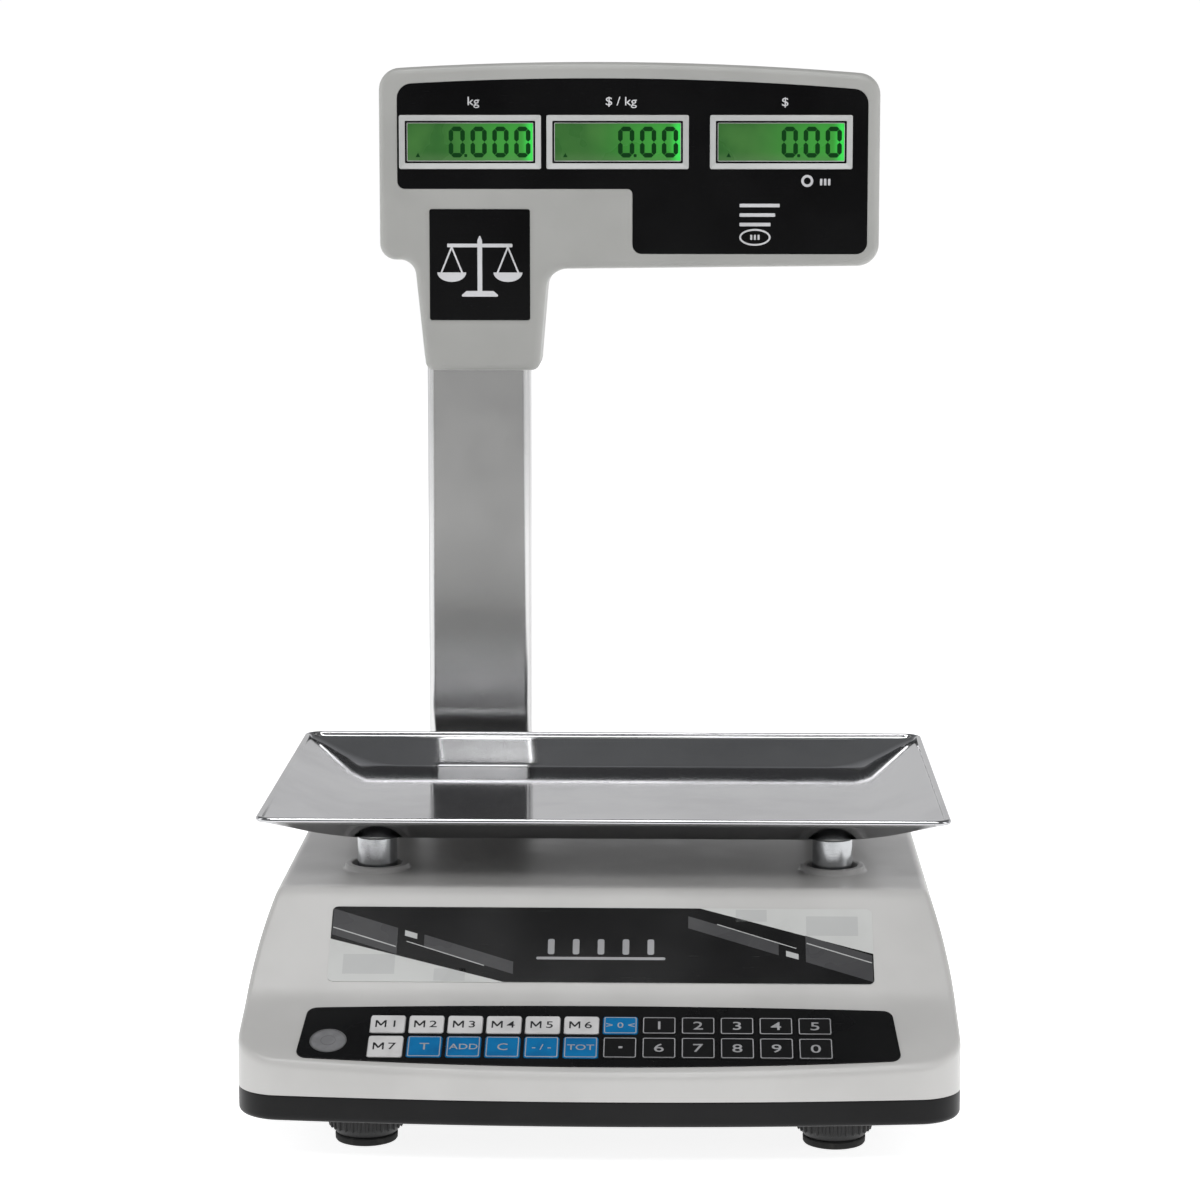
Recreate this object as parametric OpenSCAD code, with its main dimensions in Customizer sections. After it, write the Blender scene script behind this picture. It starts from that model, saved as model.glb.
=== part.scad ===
// Retail weighing scale: a white base with a sloped key panel, a stainless pan that lifts off,
// and a pole that carries a two-sided display head.
// Millimetres, +Z up, key panel toward -Y. The origin lies on the floor under the middle of the
// whole object.

/* [Base] */
// Width of the base
base_w = 340; // [320:5:400]
// Depth of the base, from the middle of the front edge to the back wall
base_d = 368; // [350:2:420]
// How far the front edge bows forward in plan
front_bow = 10; // [4:1:14]
// Front corner radius in plan
corner_r = 22; // [14:1:28]
// Back corner radius in plan
back_r = 16; // [10:1:24]
// Height of the tray's underside over the floor
floor_gap = 21.5; // [18:0.5:28]
// Height of the black tray's wall
tray_h = 12.5; // [11:0.5:16]
// Height of the cover's upright lip
lip_h = 13; // [10:0.5:18]
// Wall of the mouldings
wall = 2.5; // [2:0.1:3]
// Radius of the curve that draws the side walls in
side_r = 165; // [150:5:240]
// Length of the key slope in plan
key_run = 51.5; // [50:0.5:62]
// Rise of the key slope
key_rise = 22; // [16:0.5:28]
// Length of the label slope in plan
label_run = 50; // [46:0.5:60]
// Rise of the label slope
label_rise = 43; // [38:0.5:52]

/* [Keys] */
// Width of a key
key_w = 16.2; // [12:0.1:16.6]
// Distance from one key to the next
key_pitch = 18.3; // [18:0.1:20]
// Height of a key in the lower row
key_low_h = 15.6; // [10:0.1:16]
// Height of a key in the upper row
key_top_h = 13; // [10:0.1:15]
// Gap between the two rows
key_row_gap = 2.5; // [2.2:0.1:4]
// Margin from the foot of the slope to the lower row
key_margin = 11.4; // [10.5:0.1:13]
// Travel of a key
key_travel = 0.4; // [0.2:0.05:0.6]
// Gap round a key in its window
key_gap = 0.25; // [0.15:0.05:0.4]
// Thickness of the panel film
film = 0.6; // [0.4:0.1:1]

/* [Pan] */
// Width of the pan
pan_w = 340; // [300:5:400]
// Depth of the pan
pan_d = 240; // [210:5:250]
// Depth of the dish, underside to rim
pan_h = 15.5; // [12:0.5:22]
// How far the floor lies inside the rim at the sides
pan_slope_x = 35; // [20:1:40]
// How far the floor lies inside the rim at the front and back
pan_slope_y = 27; // [16:1:32]
// Sheet thickness of the pan
pan_sheet = 1; // [0.8:0.1:1.5]
// Distance from the pan's back rim to the back wall of the base, in plan
pan_back_gap = 29.5; // [20:0.5:34]
// Gap between the platform and the pan's underside
pan_lift = 19.5; // [15:0.5:28]

/* [Load cell and posts] */
// Distance between the left and right posts
post_x = 228; // [200:2:240]
// Distance between the front and back posts
post_y = 143; // [130:1:160]
// Radius of a post
post_r = 10; // [8:0.5:12]
// Gap round a post where it passes the cover
post_gap = 2.5; // [1.5:0.5:4]
// Length of the load cell beam
cell_l = 130; // [120:5:150]
// Width of the beam
cell_w = 30; // [26:1:40]
// Height of the beam
cell_h = 22; // [18:1:26]
// Radius of the beam's bolts
bolt_r = 3; // [2.5:0.25:4]

/* [Feet] */
// Distance between the left and right feet
foot_x = 224; // [200:2:250]
// Distance from the front or back edge to a foot's centre
foot_inset = 53.5; // [48:0.5:60]
// Radius of a foot's knob
foot_r = 18.5; // [15:0.5:20]
// Height of the rubber pad
pad_h = 4; // [3:0.5:6]
// Radius of the foot's threaded stud
stud_r = 4; // [3:0.5:5]

/* [Pole] */
// Distance of the pole to the left of the middle
pole_left = 75.5; // [60:0.5:90]
// Width of the pole tube
pole_w = 57; // [45:1:60]
// Depth of the pole tube
pole_d = 30; // [24:1:34]
// Wall of the pole tube
pole_wall = 1.5; // [1:0.1:2.5]
// Height of the pole's top over the floor
pole_top = 395; // [330:5:450]
// Sheet thickness of the pole bracket
bracket_wall = 3; // [2:0.5:4]

/* [Display head] */
// Width of the head
head_w = 275; // [260:1:300]
// Step from the neck out to the head's near end
head_shoulder = 18; // [17:0.5:30]
// Depth of the head, front face to back face
head_d = 44; // [40:1:60]
// Height of the head, over its underside
head_h = 111; // [106:1:130]
// Height of the neck under the head
neck_h = 58; // [50:1:70]
// Width of a display window
window_w = 69.5; // [60:0.5:72]
// Height of a display window
window_h = 21; // [16:0.5:24]
// Thickness of the black overlay
overlay_t = 0.8; // [0.5:0.1:1.2]

/* [Hidden] */
$fn = 48;
cut = 1;
big = 600;

// Heights
tray_top = floor_gap + tray_h;
lip_z = tray_top + lip_h;
crease_z = lip_z + key_rise;
plat_z = crease_z + label_rise;
pan_z = plat_z + pan_lift;
rim_z = pan_z + pan_h;
neck_z = pole_top - 50;
head_z = neck_z + neck_h;
head_top = head_z + head_h;

// Depths: the base and the head together are centred on the origin
bracket_gap = 0.6;
pole_fit = 0.3;
pole_behind = bracket_gap + bracket_wall + pole_fit + pole_d / 2;
front_y = -(base_d + pole_behind + head_d / 2) / 2;
back_y = front_y + base_d;
pole_x = -pole_left;
pole_y = back_y + pole_behind;
head_front_y = pole_y - head_d / 2;
head_back_y = pole_y + head_d / 2;
crease_y = front_y + key_run;
plat_y = crease_y + label_run;
pan_y = back_y - pan_back_gap - pan_d / 2;

// Slopes
key_angle = atan2(key_rise, key_run);
label_angle = atan2(label_rise, label_run);
key_len = norm([key_run, key_rise]);
label_len = norm([label_run, label_rise]);

// Keys: twelve columns and two rows
key_cols = 12;
key_shift = 1;
key_low_s = key_margin + key_low_h / 2;
key_top_s = key_margin + key_low_h + key_row_gap + key_top_h / 2;
key_cap_t = 1.1;
key_flange = 0.5;
key_proud = film + 0.4;
stem_r = 2;
stem_end = 3.15;
dome_h = 1.6;
dome_r = 2.6;
dome_t = stem_end + key_travel + 0.05;
board_t = dome_t + dome_h;
pcb = 1.6;
panel_half = base_w / 2 - 28.6;
vial_r = 8.65;
vial_x = -panel_half + 14.6;
vial_s = 23.5;

// Film labels
label_w = base_w - 78;
label_h = 44.3;
label_s = label_len / 2 - 0.8;
label_t = 0.4;

// Load cell
floor_t = 3;
tray_floor = floor_gap + floor_t;
cell_z = tray_floor + 27.5;
cell_top = cell_z + cell_h;
arm_z = cell_top + 4;
arm_t = 8;
arm_w = 18;
arm_top = arm_z + arm_t;
seat_t = 2.5;
seat_stem = 8;
post_top = pan_z - seat_t;
bolt_edge = 10;
bolt_step = 18;
bolt_head_r = bolt_r + 2;
bolt_head_h = 3.5;
collar_r = post_r + post_gap + 3.5;
collar_h = 3;

// Feet
knob_top = floor_gap - 1;
knob_clear = 0.1;
foot_boss_r = 11;
foot_boss_h = 14;
pad_r = foot_r - 3.5;
pad_stem_r = 4;
foot_back = base_d - foot_inset;
FEET = ["front_left", "front_right", "back_left", "back_right"];

// Case screws and the parts on the tray floor
screw_r = 2;
screw_head_r = 4;
screw_head_h = 2.4;
screw_boss_r = 5.5;
side_screw_x = base_w / 2 - 19;
case_screws = [for (y = [front_y + 45, pan_y, back_y - 25], i = [-1, 1]) [i * side_screw_x, y]];
bracket_screws = [[pole_x - 36, back_y - 20], [pole_x + 36, back_y - 20]];
tray_boss_h = 6;
batt_x = 98;
batt_y = pan_y;
batt_w = 70;
batt_l = 100;
batt_h = 47;
door_gap = 0.3;
door_lap = 3;
door_t = 1.6;
main_w = 106;
main_l = 116;
main_x = -(cell_w / 2 + 26 + main_w / 2);
main_y = pan_y - 20;
main_z = tray_floor + 6.5;
port_z = (tray_top + plat_z) / 2 - 8;
switch_x = 72;
switch_w = 19;
switch_h = 13;
rocker_r = 8.4;
rocker_gap = 0.3;
rocker_tilt = 12;
inlet_x = 116;
inlet_w = 24;
inlet_h = 14;
pin_r = 1.2;
pin_step = 4.3;

// Pole and bracket
tube_r = 4;
sleeve_top = port_z + 36;
sleeve_w = pole_w + 2 * pole_fit + 2 * bracket_wall;
sleeve_d = pole_d + 2 * pole_fit + 2 * bracket_wall;
pole_bolts = [[pole_x - 14, tray_top + 10], [pole_x - 14, sleeve_top - 12]];
cable_w = 12;
cable_t = 1.5;
cable_x = pole_x + 12;
cable_gap = 2;

// Head
crown_r = 1800;
head_r = 12;
neck_top_w = pole_w + 14.5;
neck_low_w = pole_w + 5.8;
neck_clear = 0.2;
shelf = 11;
head_x0 = pole_x - neck_top_w / 2 - head_shoulder;
head_x1 = head_x0 + head_w;
crown_x = head_x0 + 117.5;
panel_x0 = head_x0 + 10.25;
panel_x1 = head_x1 - 6.75;
panel_step_x = pole_x + neck_top_w / 2 + 50;
panel_low_z = head_z + 6.5;
band_low_z = head_z + 42;
panel_top = 9;
panel_gap = 0.15;
window_z = head_z + 67.5;
window_step = window_w + 11.5;
window_x0 = head_x0 + 15.5 + window_w / 2;
windows = [window_x0, window_x0 + window_step, window_x0 + 2 * window_step + 8.6];
glass_w = window_w + 4.5;
glass_h = window_h + 5;
glass_t = 9;
head_screws = [[head_x0 + 12, head_z + 22], [panel_step_x - 12, head_z + 22]];
neck_screws = [[pole_x - 17, neck_z + 20], [pole_x + 17, neck_z + 20]];
badge_w = 55.4;
badge_h = 61;
badge_x = pole_x + 1.6;
badge_z = neck_z + 58.4;

// Names of the keys, in the order of the two rows from left to right
KEYS = [
  "key_m1", "key_m2", "key_m3", "key_m4", "key_m5", "key_m6",
  "key_zero", "key_1", "key_2", "key_3", "key_4", "key_5",
  "key_m7", "key_tare", "key_add", "key_clear", "key_change", "key_total",
  "key_point", "key_6", "key_7", "key_8", "key_9", "key_0"
];
WHITE_KEYS = [0, 1, 2, 3, 4, 5, 12];
BLUE_KEYS = [6, 13, 14, 15, 16, 17];

// ---- Outlines -----------------------------------------------------------------------------

function unit(v) = v / norm(v);

function arc(c, r, a0, a1, n, skip = 0) =
  [for (i = [skip : n - skip]) c + r * [cos(a0 + (a1 - a0) * i / n), sin(a0 + (a1 - a0) * i / n)]];

// Points of the round at corner b, between its neighbours a and c
function round_corner(a, b, c, n) =
  let (p = [b.x, b.y], r = b[2], u = unit([a.x, a.y] - p), v = unit([c.x, c.y] - p))
  r <= 0 ? [p] :
  let (
    half = acos(u * v) / 2,
    start = p + u * r / tan(half),
    end = p + v * r / tan(half),
    o = p + unit(u + v) * r / sin(half),
    a0 = atan2(start.y - o.y, start.x - o.x),
    turn = atan2(end.y - o.y, end.x - o.x) - a0,
    d = turn > 180 ? turn - 360 : turn < -180 ? turn + 360 : turn
  )
  arc(o, r, a0, a0 + d, n);

// A closed outline of [x, y, radius] corners with each corner rounded
function rounded(p, n = 6) =
  let (m = len(p))
  [for (i = [0 : m - 1]) each round_corner(p[(i + m - 1) % m], p[i], p[(i + 1) % m], n)];

// A closed anticlockwise outline drawn in by w, or out where w is negative
function inset(p, w) =
  let (m = len(p))
  [for (i = [0 : m - 1])
    let (
      u = unit(p[i] - p[(i + m - 1) % m]),
      v = unit(p[(i + 1) % m] - p[i]),
      n1 = [-u.y, u.x],
      n2 = [-v.y, v.x]
    )
    p[i] + w * (n1 + n2) / (1 + n1 * n2)];

function box_corners(w, h, r) =
  [[-w / 2, -h / 2, r], [w / 2, -h / 2, r], [w / 2, h / 2, r], [-w / 2, h / 2, r]];

// The base in plan: a bowed front edge that runs tangent into its corner rounds
bow_r = (pow(base_w / 2, 2) + pow(front_bow, 2)) / (2 * front_bow);
corner_x = base_w / 2 - corner_r;
bow_a = asin(corner_x / (bow_r - corner_r));
corner_y = front_y + bow_r - (bow_r - corner_r) * cos(bow_a);
back_x = base_w / 2 - back_r;

function plan(w) = concat(
  arc([-corner_x, corner_y], corner_r - w, 180, 270 - bow_a, 6),
  arc([0, front_y + bow_r], bow_r - w, 270 - bow_a, 270 + bow_a, 12, 1),
  arc([corner_x, corner_y], corner_r - w, 270 + bow_a, 360, 6),
  arc([back_x, back_y - back_r], back_r - w, 0, 90, 4),
  arc([-back_x, back_y - back_r], back_r - w, 90, 180, 4)
);

// The base from the side: key slope, label slope, platform
function side_profile(low) = [
  [front_y - 20, low],
  [back_y + 20, low],
  [back_y + 20, plat_z],
  [plat_y, plat_z],
  [crease_y, crease_z],
  [front_y - 20, lip_z - 20 * tan(key_angle)]
];

// The base from the front: upright, then drawn in along an arc
side_z = lip_z + 5;
side_a = asin((plat_z + 10 - side_z) / side_r);
function front_profile(low, w) = concat(
  [[-base_w / 2 + w, low], [base_w / 2 - w, low]],
  arc([base_w / 2 - side_r, side_z], side_r - w, 0, side_a, 8),
  arc([side_r - base_w / 2, side_z], side_r - w, 180 - side_a, 180, 8)
);

// The head's crowned top edge at x, lowered by m
function crown(x, m = 0) = head_top - m - pow(x - crown_x, 2) / (2 * crown_r);

// Corners of a panel from x0 to x1 with its top edge parallel to the crown
function crowned_top(x0, x1, m, r) = concat(
  [[x1, crown(x1, m), r]],
  [for (i = [1 : 7]) let (x = x1 + (x0 - x1) * i / 8) [x, crown(x, m), 0]],
  [[x0, crown(x0, m), r]]
);

head_outline = rounded(concat(
  [[pole_x - neck_low_w / 2 + 2.8, neck_z, 3], [pole_x + neck_low_w / 2 + 2.8, neck_z, 3]],
  [[pole_x + neck_top_w / 2 + 3.2, head_z - 2, 12], [head_x1, head_z, head_r]],
  crowned_top(head_x0, head_x1, 0, head_r),
  [[head_x0, head_z + 3, 8], [pole_x - neck_top_w / 2 + 1, head_z + 3, 8]]
));

cavity_outline = rounded(concat(
  [[head_x0 + wall, head_z + wall + 3, 6], [head_x1 - wall, head_z + wall + 1, 10]],
  crowned_top(head_x0 + wall, head_x1 - wall, wall, 10)
));

overlay_outline = rounded(concat(
  [[panel_x0, band_low_z, 4], [panel_step_x, band_low_z, 3]],
  [[panel_step_x, panel_low_z, 5], [panel_x1, panel_low_z, 6]],
  crowned_top(panel_x0, panel_x1, panel_top, 8)
));

// The key panel: straight ends, bowed top and bottom edges
panel_low_s = 5.6;
panel_top_s = key_len - 4.9;
panel_low_bow = 5.9;
panel_top_bow = 2.6;
function bowed(x, s, bow) = s + bow * pow(x / panel_half, 2);
panel_outline = rounded(concat(
  [[-panel_half, bowed(panel_half, panel_low_s, panel_low_bow), 5]],
  [for (i = [-4 : 4]) [i * panel_half / 5, bowed(i * panel_half / 5, panel_low_s, panel_low_bow), 0]],
  [[panel_half, bowed(panel_half, panel_low_s, panel_low_bow), 5]],
  [[panel_half - 3, bowed(panel_half, panel_top_s, -panel_top_bow), 5]],
  [for (i = [4 : -1 : -4])
    [i * panel_half / 5, bowed(i * panel_half / 5, panel_top_s, -panel_top_bow), 0]],
  [[-panel_half + 3, bowed(panel_half, panel_top_s, -panel_top_bow), 5]]
), 5);

// ---- Placing ------------------------------------------------------------------------------

// On the key slope: x across, s up the slope, t out of it
module on_key_slope(x, s, t = 0) {
  translate([x, front_y, lip_z]) rotate([key_angle, 0, 0]) translate([0, s, t]) children();
}

module on_label_slope(x, s, t = 0) {
  translate([x, crease_y, crease_z]) rotate([label_angle, 0, 0]) translate([0, s, t]) children();
}

// An outline in x and z, from y0 back to y1
module slab(points, y0, y1) {
  translate([0, y1, 0]) rotate([90, 0, 0]) linear_extrude(y1 - y0) polygon(points);
}

// A box given by its low and high corners
module block(a, b) {
  translate(a) cube(b - a);
}

// A rod along y from y0 to y1
module rod_y(x, y0, y1, z, r) {
  translate([x, y0, z]) rotate([-90, 0, 0]) cylinder(r = r, h = y1 - y0);
}

function key_x(i) = key_shift + (i % key_cols - (key_cols - 1) / 2) * key_pitch;
function key_s(i) = i < key_cols ? key_top_s : key_low_s;
function key_h(i) = i < key_cols ? key_top_h : key_low_h;

module at_posts() {
  for (i = [-1, 1], j = [-1, 1]) translate([i * post_x / 2, pan_y + j * post_y / 2, 0]) children();
}

function foot_pos(k) = [(k % 2 * 2 - 1) * foot_x / 2, front_y + (k < 2 ? foot_inset : foot_back), 0];

// ---- Base ---------------------------------------------------------------------------------

module base_form(w, low) {
  intersection() {
    translate([0, 0, low]) linear_extrude(plat_z - low) polygon(plan(w));
    translate([-big / 2, 0, 0]) rotate([90, 0, 90]) linear_extrude(big)
      polygon(inset(side_profile(low - w), w));
    slab(front_profile(low, w), front_y - 20, back_y + 20);
  }
}

module cover_bosses() {
  intersection() {
    base_form(wall / 2, tray_top);
    union() {
      for (p = case_screws)
        translate([p.x, p.y, tray_floor + tray_boss_h]) cylinder(r = screw_boss_r, h = big / 4);
      for (i = [-1, 1], s = [key_margin - 4.5, key_top_s + key_top_h / 2 + 4.5])
        on_key_slope(key_shift + i * (key_cols / 2 * key_pitch + 4), s, -board_t)
          cylinder(r = 3, h = board_t - wall / 2);
    }
  }
}

module cover_holes() {
  at_posts() translate([0, 0, plat_z - 10]) cylinder(r = post_r + post_gap, h = 20);
  on_key_slope(key_shift, (key_margin + key_top_s + key_top_h / 2) / 2, -wall - 3)
    linear_extrude(wall + 6) square(
      [key_cols * key_pitch + 1, key_top_s + key_top_h / 2 - key_margin + 3], center = true);
  on_key_slope(vial_x, vial_s, -wall - 3) cylinder(r = vial_r + 0.1, h = wall + 6);
  for (p = case_screws)
    translate([p.x, p.y, tray_floor + tray_boss_h - cut]) cylinder(r = screw_r, h = 14 + cut);
  block([switch_x - switch_w / 2, back_y - wall - cut, port_z - switch_h / 2],
    [switch_x + switch_w / 2, back_y + cut, port_z + switch_h / 2]);
  block([inlet_x - inlet_w / 2, back_y - wall - cut, port_z - inlet_h / 2],
    [inlet_x + inlet_w / 2, back_y + cut, port_z + inlet_h / 2]);
  block([cable_x - cable_w / 2 - cable_gap, back_y - wall - cut, port_z - cable_gap - cable_t],
    [cable_x + cable_w / 2 + cable_gap, back_y + cut, port_z + cable_gap + cable_t]);
}

module top_cover() color("gainsboro") {
  difference() {
    union() {
      difference() {
        base_form(0, tray_top);
        base_form(wall, tray_top - cut);
      }
      cover_bosses();
      at_posts() translate([0, 0, plat_z - wall / 2]) cylinder(r = collar_r, h = collar_h + wall / 2);
    }
    cover_holes();
  }
}

module tray_shell() {
  difference() {
    translate([0, 0, floor_gap]) linear_extrude(tray_h) polygon(plan(0));
    translate([0, 0, tray_floor]) linear_extrude(tray_h) polygon(plan(wall + 2));
  }
  difference() {
    translate([0, 0, tray_floor]) linear_extrude(tray_h) polygon(plan(wall + 0.3));
    translate([0, 0, tray_floor - cut]) linear_extrude(tray_h + 2 * cut) polygon(plan(wall + 2));
  }
}

module tray_bosses() {
  for (k = [0 : 3]) translate(foot_pos(k) + [0, 0, floor_gap]) cylinder(r = foot_boss_r, h = foot_boss_h);
  for (p = case_screws)
    translate([p.x, p.y, floor_gap]) cylinder(r = screw_boss_r, h = floor_t + tray_boss_h);
  for (p = bracket_screws)
    translate([p.x, p.y, floor_gap]) cylinder(r = screw_boss_r, h = floor_t + 9);
  for (i = [-1, 1], j = [-1, 1])
    translate([main_x + i * (main_w / 2 - 6), main_y + j * (main_l / 2 - 6), floor_gap])
      cylinder(r = 4, h = main_z - floor_gap);
  // Pedestal under the fixed end of the load cell, with ribs that run to it
  block([-cell_w / 2 - 3, pan_y + cell_l / 2 - 38, floor_gap],
    [cell_w / 2 + 3, pan_y + cell_l / 2 + 3, cell_z]);
  for (i = [-1, 1])
    block([i * 17 - 1.2, front_y + 40, floor_gap], [i * 17 + 1.2, back_y - 34, floor_gap + 9]);
}

module tray_holes() {
  for (k = [0 : 3])
    translate(foot_pos(k) + [0, 0, floor_gap - cut])
      cylinder(r = stud_r + knob_clear, h = foot_boss_h + 2 * cut);
  for (p = concat(case_screws, bracket_screws))
    translate([p.x, p.y, floor_gap - cut]) cylinder(r = screw_r, h = 20);
  for (p = case_screws)
    translate([p.x, p.y, floor_gap - cut]) cylinder(r = screw_head_r + 0.5, h = screw_head_h + cut);
  translate([batt_x, batt_y, floor_gap - cut]) linear_extrude(floor_t + 2 * cut)
    square([batt_w + 4, batt_l + 4], center = true);
  translate([batt_x, batt_y, floor_gap - cut]) linear_extrude(door_t + cut)
    polygon(rounded(box_corners(batt_w + 4 + 2 * door_lap, batt_l + 4 + 2 * door_lap, 3)));
  for (k = [0, 1]) translate([0, pan_y + cell_l / 2 - bolt_edge - k * bolt_step, cell_z - 16])
    cylinder(r = bolt_r, h = 20);
}

module bottom_tray() color([0.1, 0.1, 0.11]) {
  difference() {
    union() {
      tray_shell();
      tray_bosses();
    }
    tray_holes();
  }
}

module keypad_overlay() color([0.08, 0.08, 0.09]) {
  difference() {
    on_key_slope(0, 0) linear_extrude(film) polygon(panel_outline);
    for (i = [0 : 2 * key_cols - 1]) on_key_slope(key_x(i), key_s(i), -cut)
      linear_extrude(film + 2 * cut) square([key_w + 2 * key_gap, key_h(i) + 2 * key_gap], center = true);
    on_key_slope(vial_x, vial_s, -cut) cylinder(r = vial_r + 0.1, h = film + 2 * cut);
  }
}

module key(i) color(len(search(i, WHITE_KEYS)) > 0 ? "white"
    : len(search(i, BLUE_KEYS)) > 0 ? [0.05, 0.45, 0.65] : [0.12, 0.12, 0.13]) {
  on_key_slope(key_x(i), key_s(i)) {
    translate([0, 0, -key_cap_t]) linear_extrude(key_cap_t + key_proud)
      polygon(rounded(box_corners(key_w, key_h(i), 1.2), 4));
    translate([0, 0, -key_cap_t]) linear_extrude(key_cap_t - 0.1)
      square([key_w + 2 * key_flange, key_h(i) + 2 * key_flange], center = true);
    translate([0, 0, -stem_end]) cylinder(r = stem_r, h = stem_end);
  }
}

module keypad_board() color("seagreen") {
  mid_s = (key_margin + key_top_s + key_top_h / 2) / 2;
  on_key_slope(key_shift, mid_s, -board_t - pcb) linear_extrude(pcb)
    square([key_cols * key_pitch + 16, key_top_s + key_top_h / 2 - key_margin + 9], center = true);
  for (i = [0 : 2 * key_cols - 1]) on_key_slope(key_x(i), key_s(i), -board_t - pcb / 2)
    cylinder(r = dome_r, h = dome_h + pcb / 2);
  on_key_slope(key_shift + 70, mid_s, -board_t - pcb - 5) linear_extrude(5 + pcb / 2)
    square([30, 6], center = true);
}

module film_labels() color([0.15, 0.15, 0.16]) {
  on_label_slope(0, label_s) linear_extrude(label_t) polygon(rounded(box_corners(label_w, label_h, 3)));
  translate([badge_x, 0, badge_z])
    slab(rounded(box_corners(badge_w, badge_h, 1)), head_front_y - label_t, head_front_y);
}

module level_vial() color("lightgray") {
  on_key_slope(vial_x, vial_s, -7) {
    cylinder(r = vial_r, h = 7 + film + 0.3);
    translate([0, 0, -1]) cylinder(r = vial_r - 1.5, h = 1.5);
  }
}

module main_board() color("darkgreen") {
  translate([main_x, main_y, main_z]) {
    linear_extrude(pcb) square([main_w, main_l], center = true);
    // Transformer, capacitors, chips and the row of headers
    translate([-26, -28, pcb / 2]) linear_extrude(24) square([36, 42], center = true);
    for (i = [0 : 2]) translate([8 + 14 * i, -42, pcb / 2]) cylinder(r = 5, h = 16);
    translate([22, 4, pcb / 2]) linear_extrude(3) square([20, 20], center = true);
    for (i = [0 : 3]) translate([-40 + 22 * i, 46, pcb / 2]) linear_extrude(8) square([14, 6], center = true);
  }
}

module battery() color([0.25, 0.27, 0.3]) {
  translate([batt_x, batt_y, floor_gap + door_t + 0.2]) {
    linear_extrude(batt_h) polygon(rounded(box_corners(batt_w, batt_l, 2)));
    for (i = [-1, 1]) translate([i * 24, 40, batt_h - cut]) linear_extrude(5 + cut)
      square([0.8, 4.8], center = true);
  }
}

module battery_door() color([0.12, 0.12, 0.13]) {
  w = batt_w + 4 + 2 * (door_lap - door_gap);
  l = batt_l + 4 + 2 * (door_lap - door_gap);
  difference() {
    translate([batt_x, batt_y, floor_gap]) linear_extrude(door_t) polygon(rounded(box_corners(w, l, 3)));
    for (i = [-2 : 2]) translate([batt_x + 4 * i, batt_y - l / 2 + 10, floor_gap - cut])
      linear_extrude(0.6 + cut) square([1.4, 12], center = true);
  }
}

module power_inlet() color([0.1, 0.1, 0.1]) {
  difference() {
    union() {
      block([inlet_x - inlet_w / 2, back_y - 15, port_z - inlet_h / 2],
        [inlet_x + inlet_w / 2, back_y + cut, port_z + inlet_h / 2]);
      translate([inlet_x, 0, port_z])
        slab(rounded(box_corners(inlet_w + 8, inlet_h + 6, 2)), back_y, back_y + 2);
    }
    for (i = [-1, 1]) rod_y(inlet_x + i * pin_step, back_y - 9, back_y + 2 + cut, port_z, 4.2);
    block([inlet_x - pin_step, back_y - 9, port_z - 4.2],
      [inlet_x + pin_step, back_y + 2 + cut, port_z + 4.2]);
  }
  for (i = [-1, 1]) rod_y(inlet_x + i * pin_step, back_y - 10, back_y - 1, port_z, pin_r);
}

module switch_housing() color([0.1, 0.1, 0.1]) {
  difference() {
    union() {
      block([switch_x - switch_w / 2, back_y - 14, port_z - switch_h / 2],
        [switch_x + switch_w / 2, back_y + cut, port_z + switch_h / 2]);
      translate([switch_x, 0, port_z])
        slab(rounded(box_corners(switch_w + 3, switch_h + 4, 1.5)), back_y, back_y + 2);
    }
    translate([switch_x, back_y + 1, port_z - switch_h / 2 + 1])
      cylinder(r = rocker_r + rocker_gap, h = switch_h - 2);
  }
}

// The rocker rests with one end down, which is off
module power_rocker() color([0.15, 0.15, 0.15]) {
  rise = (rocker_r + 1) * tan(rocker_tilt);
  translate([switch_x, back_y + 1, port_z - switch_h / 2 + 1 + rocker_gap]) rotate([0, 0, -rocker_tilt])
    intersection() {
      cylinder(r = rocker_r, h = switch_h - 2 - 2 * rocker_gap);
      linear_extrude(switch_h - 2 - 2 * rocker_gap)
        polygon([[-rocker_r - 1, -4], [rocker_r + 1, -4], [rocker_r + 1, 1.4 + rise], [0, 1.4],
          [-rocker_r - 1, 1.4 + rise]]);
    }
}

// A case screw that points up: its head's underside is at z = 0
module screw(length) {
  difference() {
    union() {
      translate([0, 0, -screw_head_h]) cylinder(r = screw_head_r, h = screw_head_h);
      translate([0, 0, -cut]) cylinder(r = screw_r, h = length + cut);
    }
    for (a = [0, 90]) rotate([0, 0, a])
      translate([-2.2, -0.4, -screw_head_h - cut]) cube([4.4, 0.8, 1.4 + cut]);
  }
}

module housing_screws() color("silver") {
  for (p = case_screws) translate([p.x, p.y, floor_gap + screw_head_h]) screw(16);
  for (p = bracket_screws) translate([p.x, p.y, floor_gap - bracket_wall]) screw(14);
  for (p = head_screws) translate([p.x, head_back_y - 6, p.y]) rotate([90, 0, 0]) screw(26);
  for (p = neck_screws) translate([p.x, head_back_y - screw_head_h, p.y]) rotate([90, 0, 0]) screw(10);
}

// ---- Weighing system ----------------------------------------------------------------------

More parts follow.
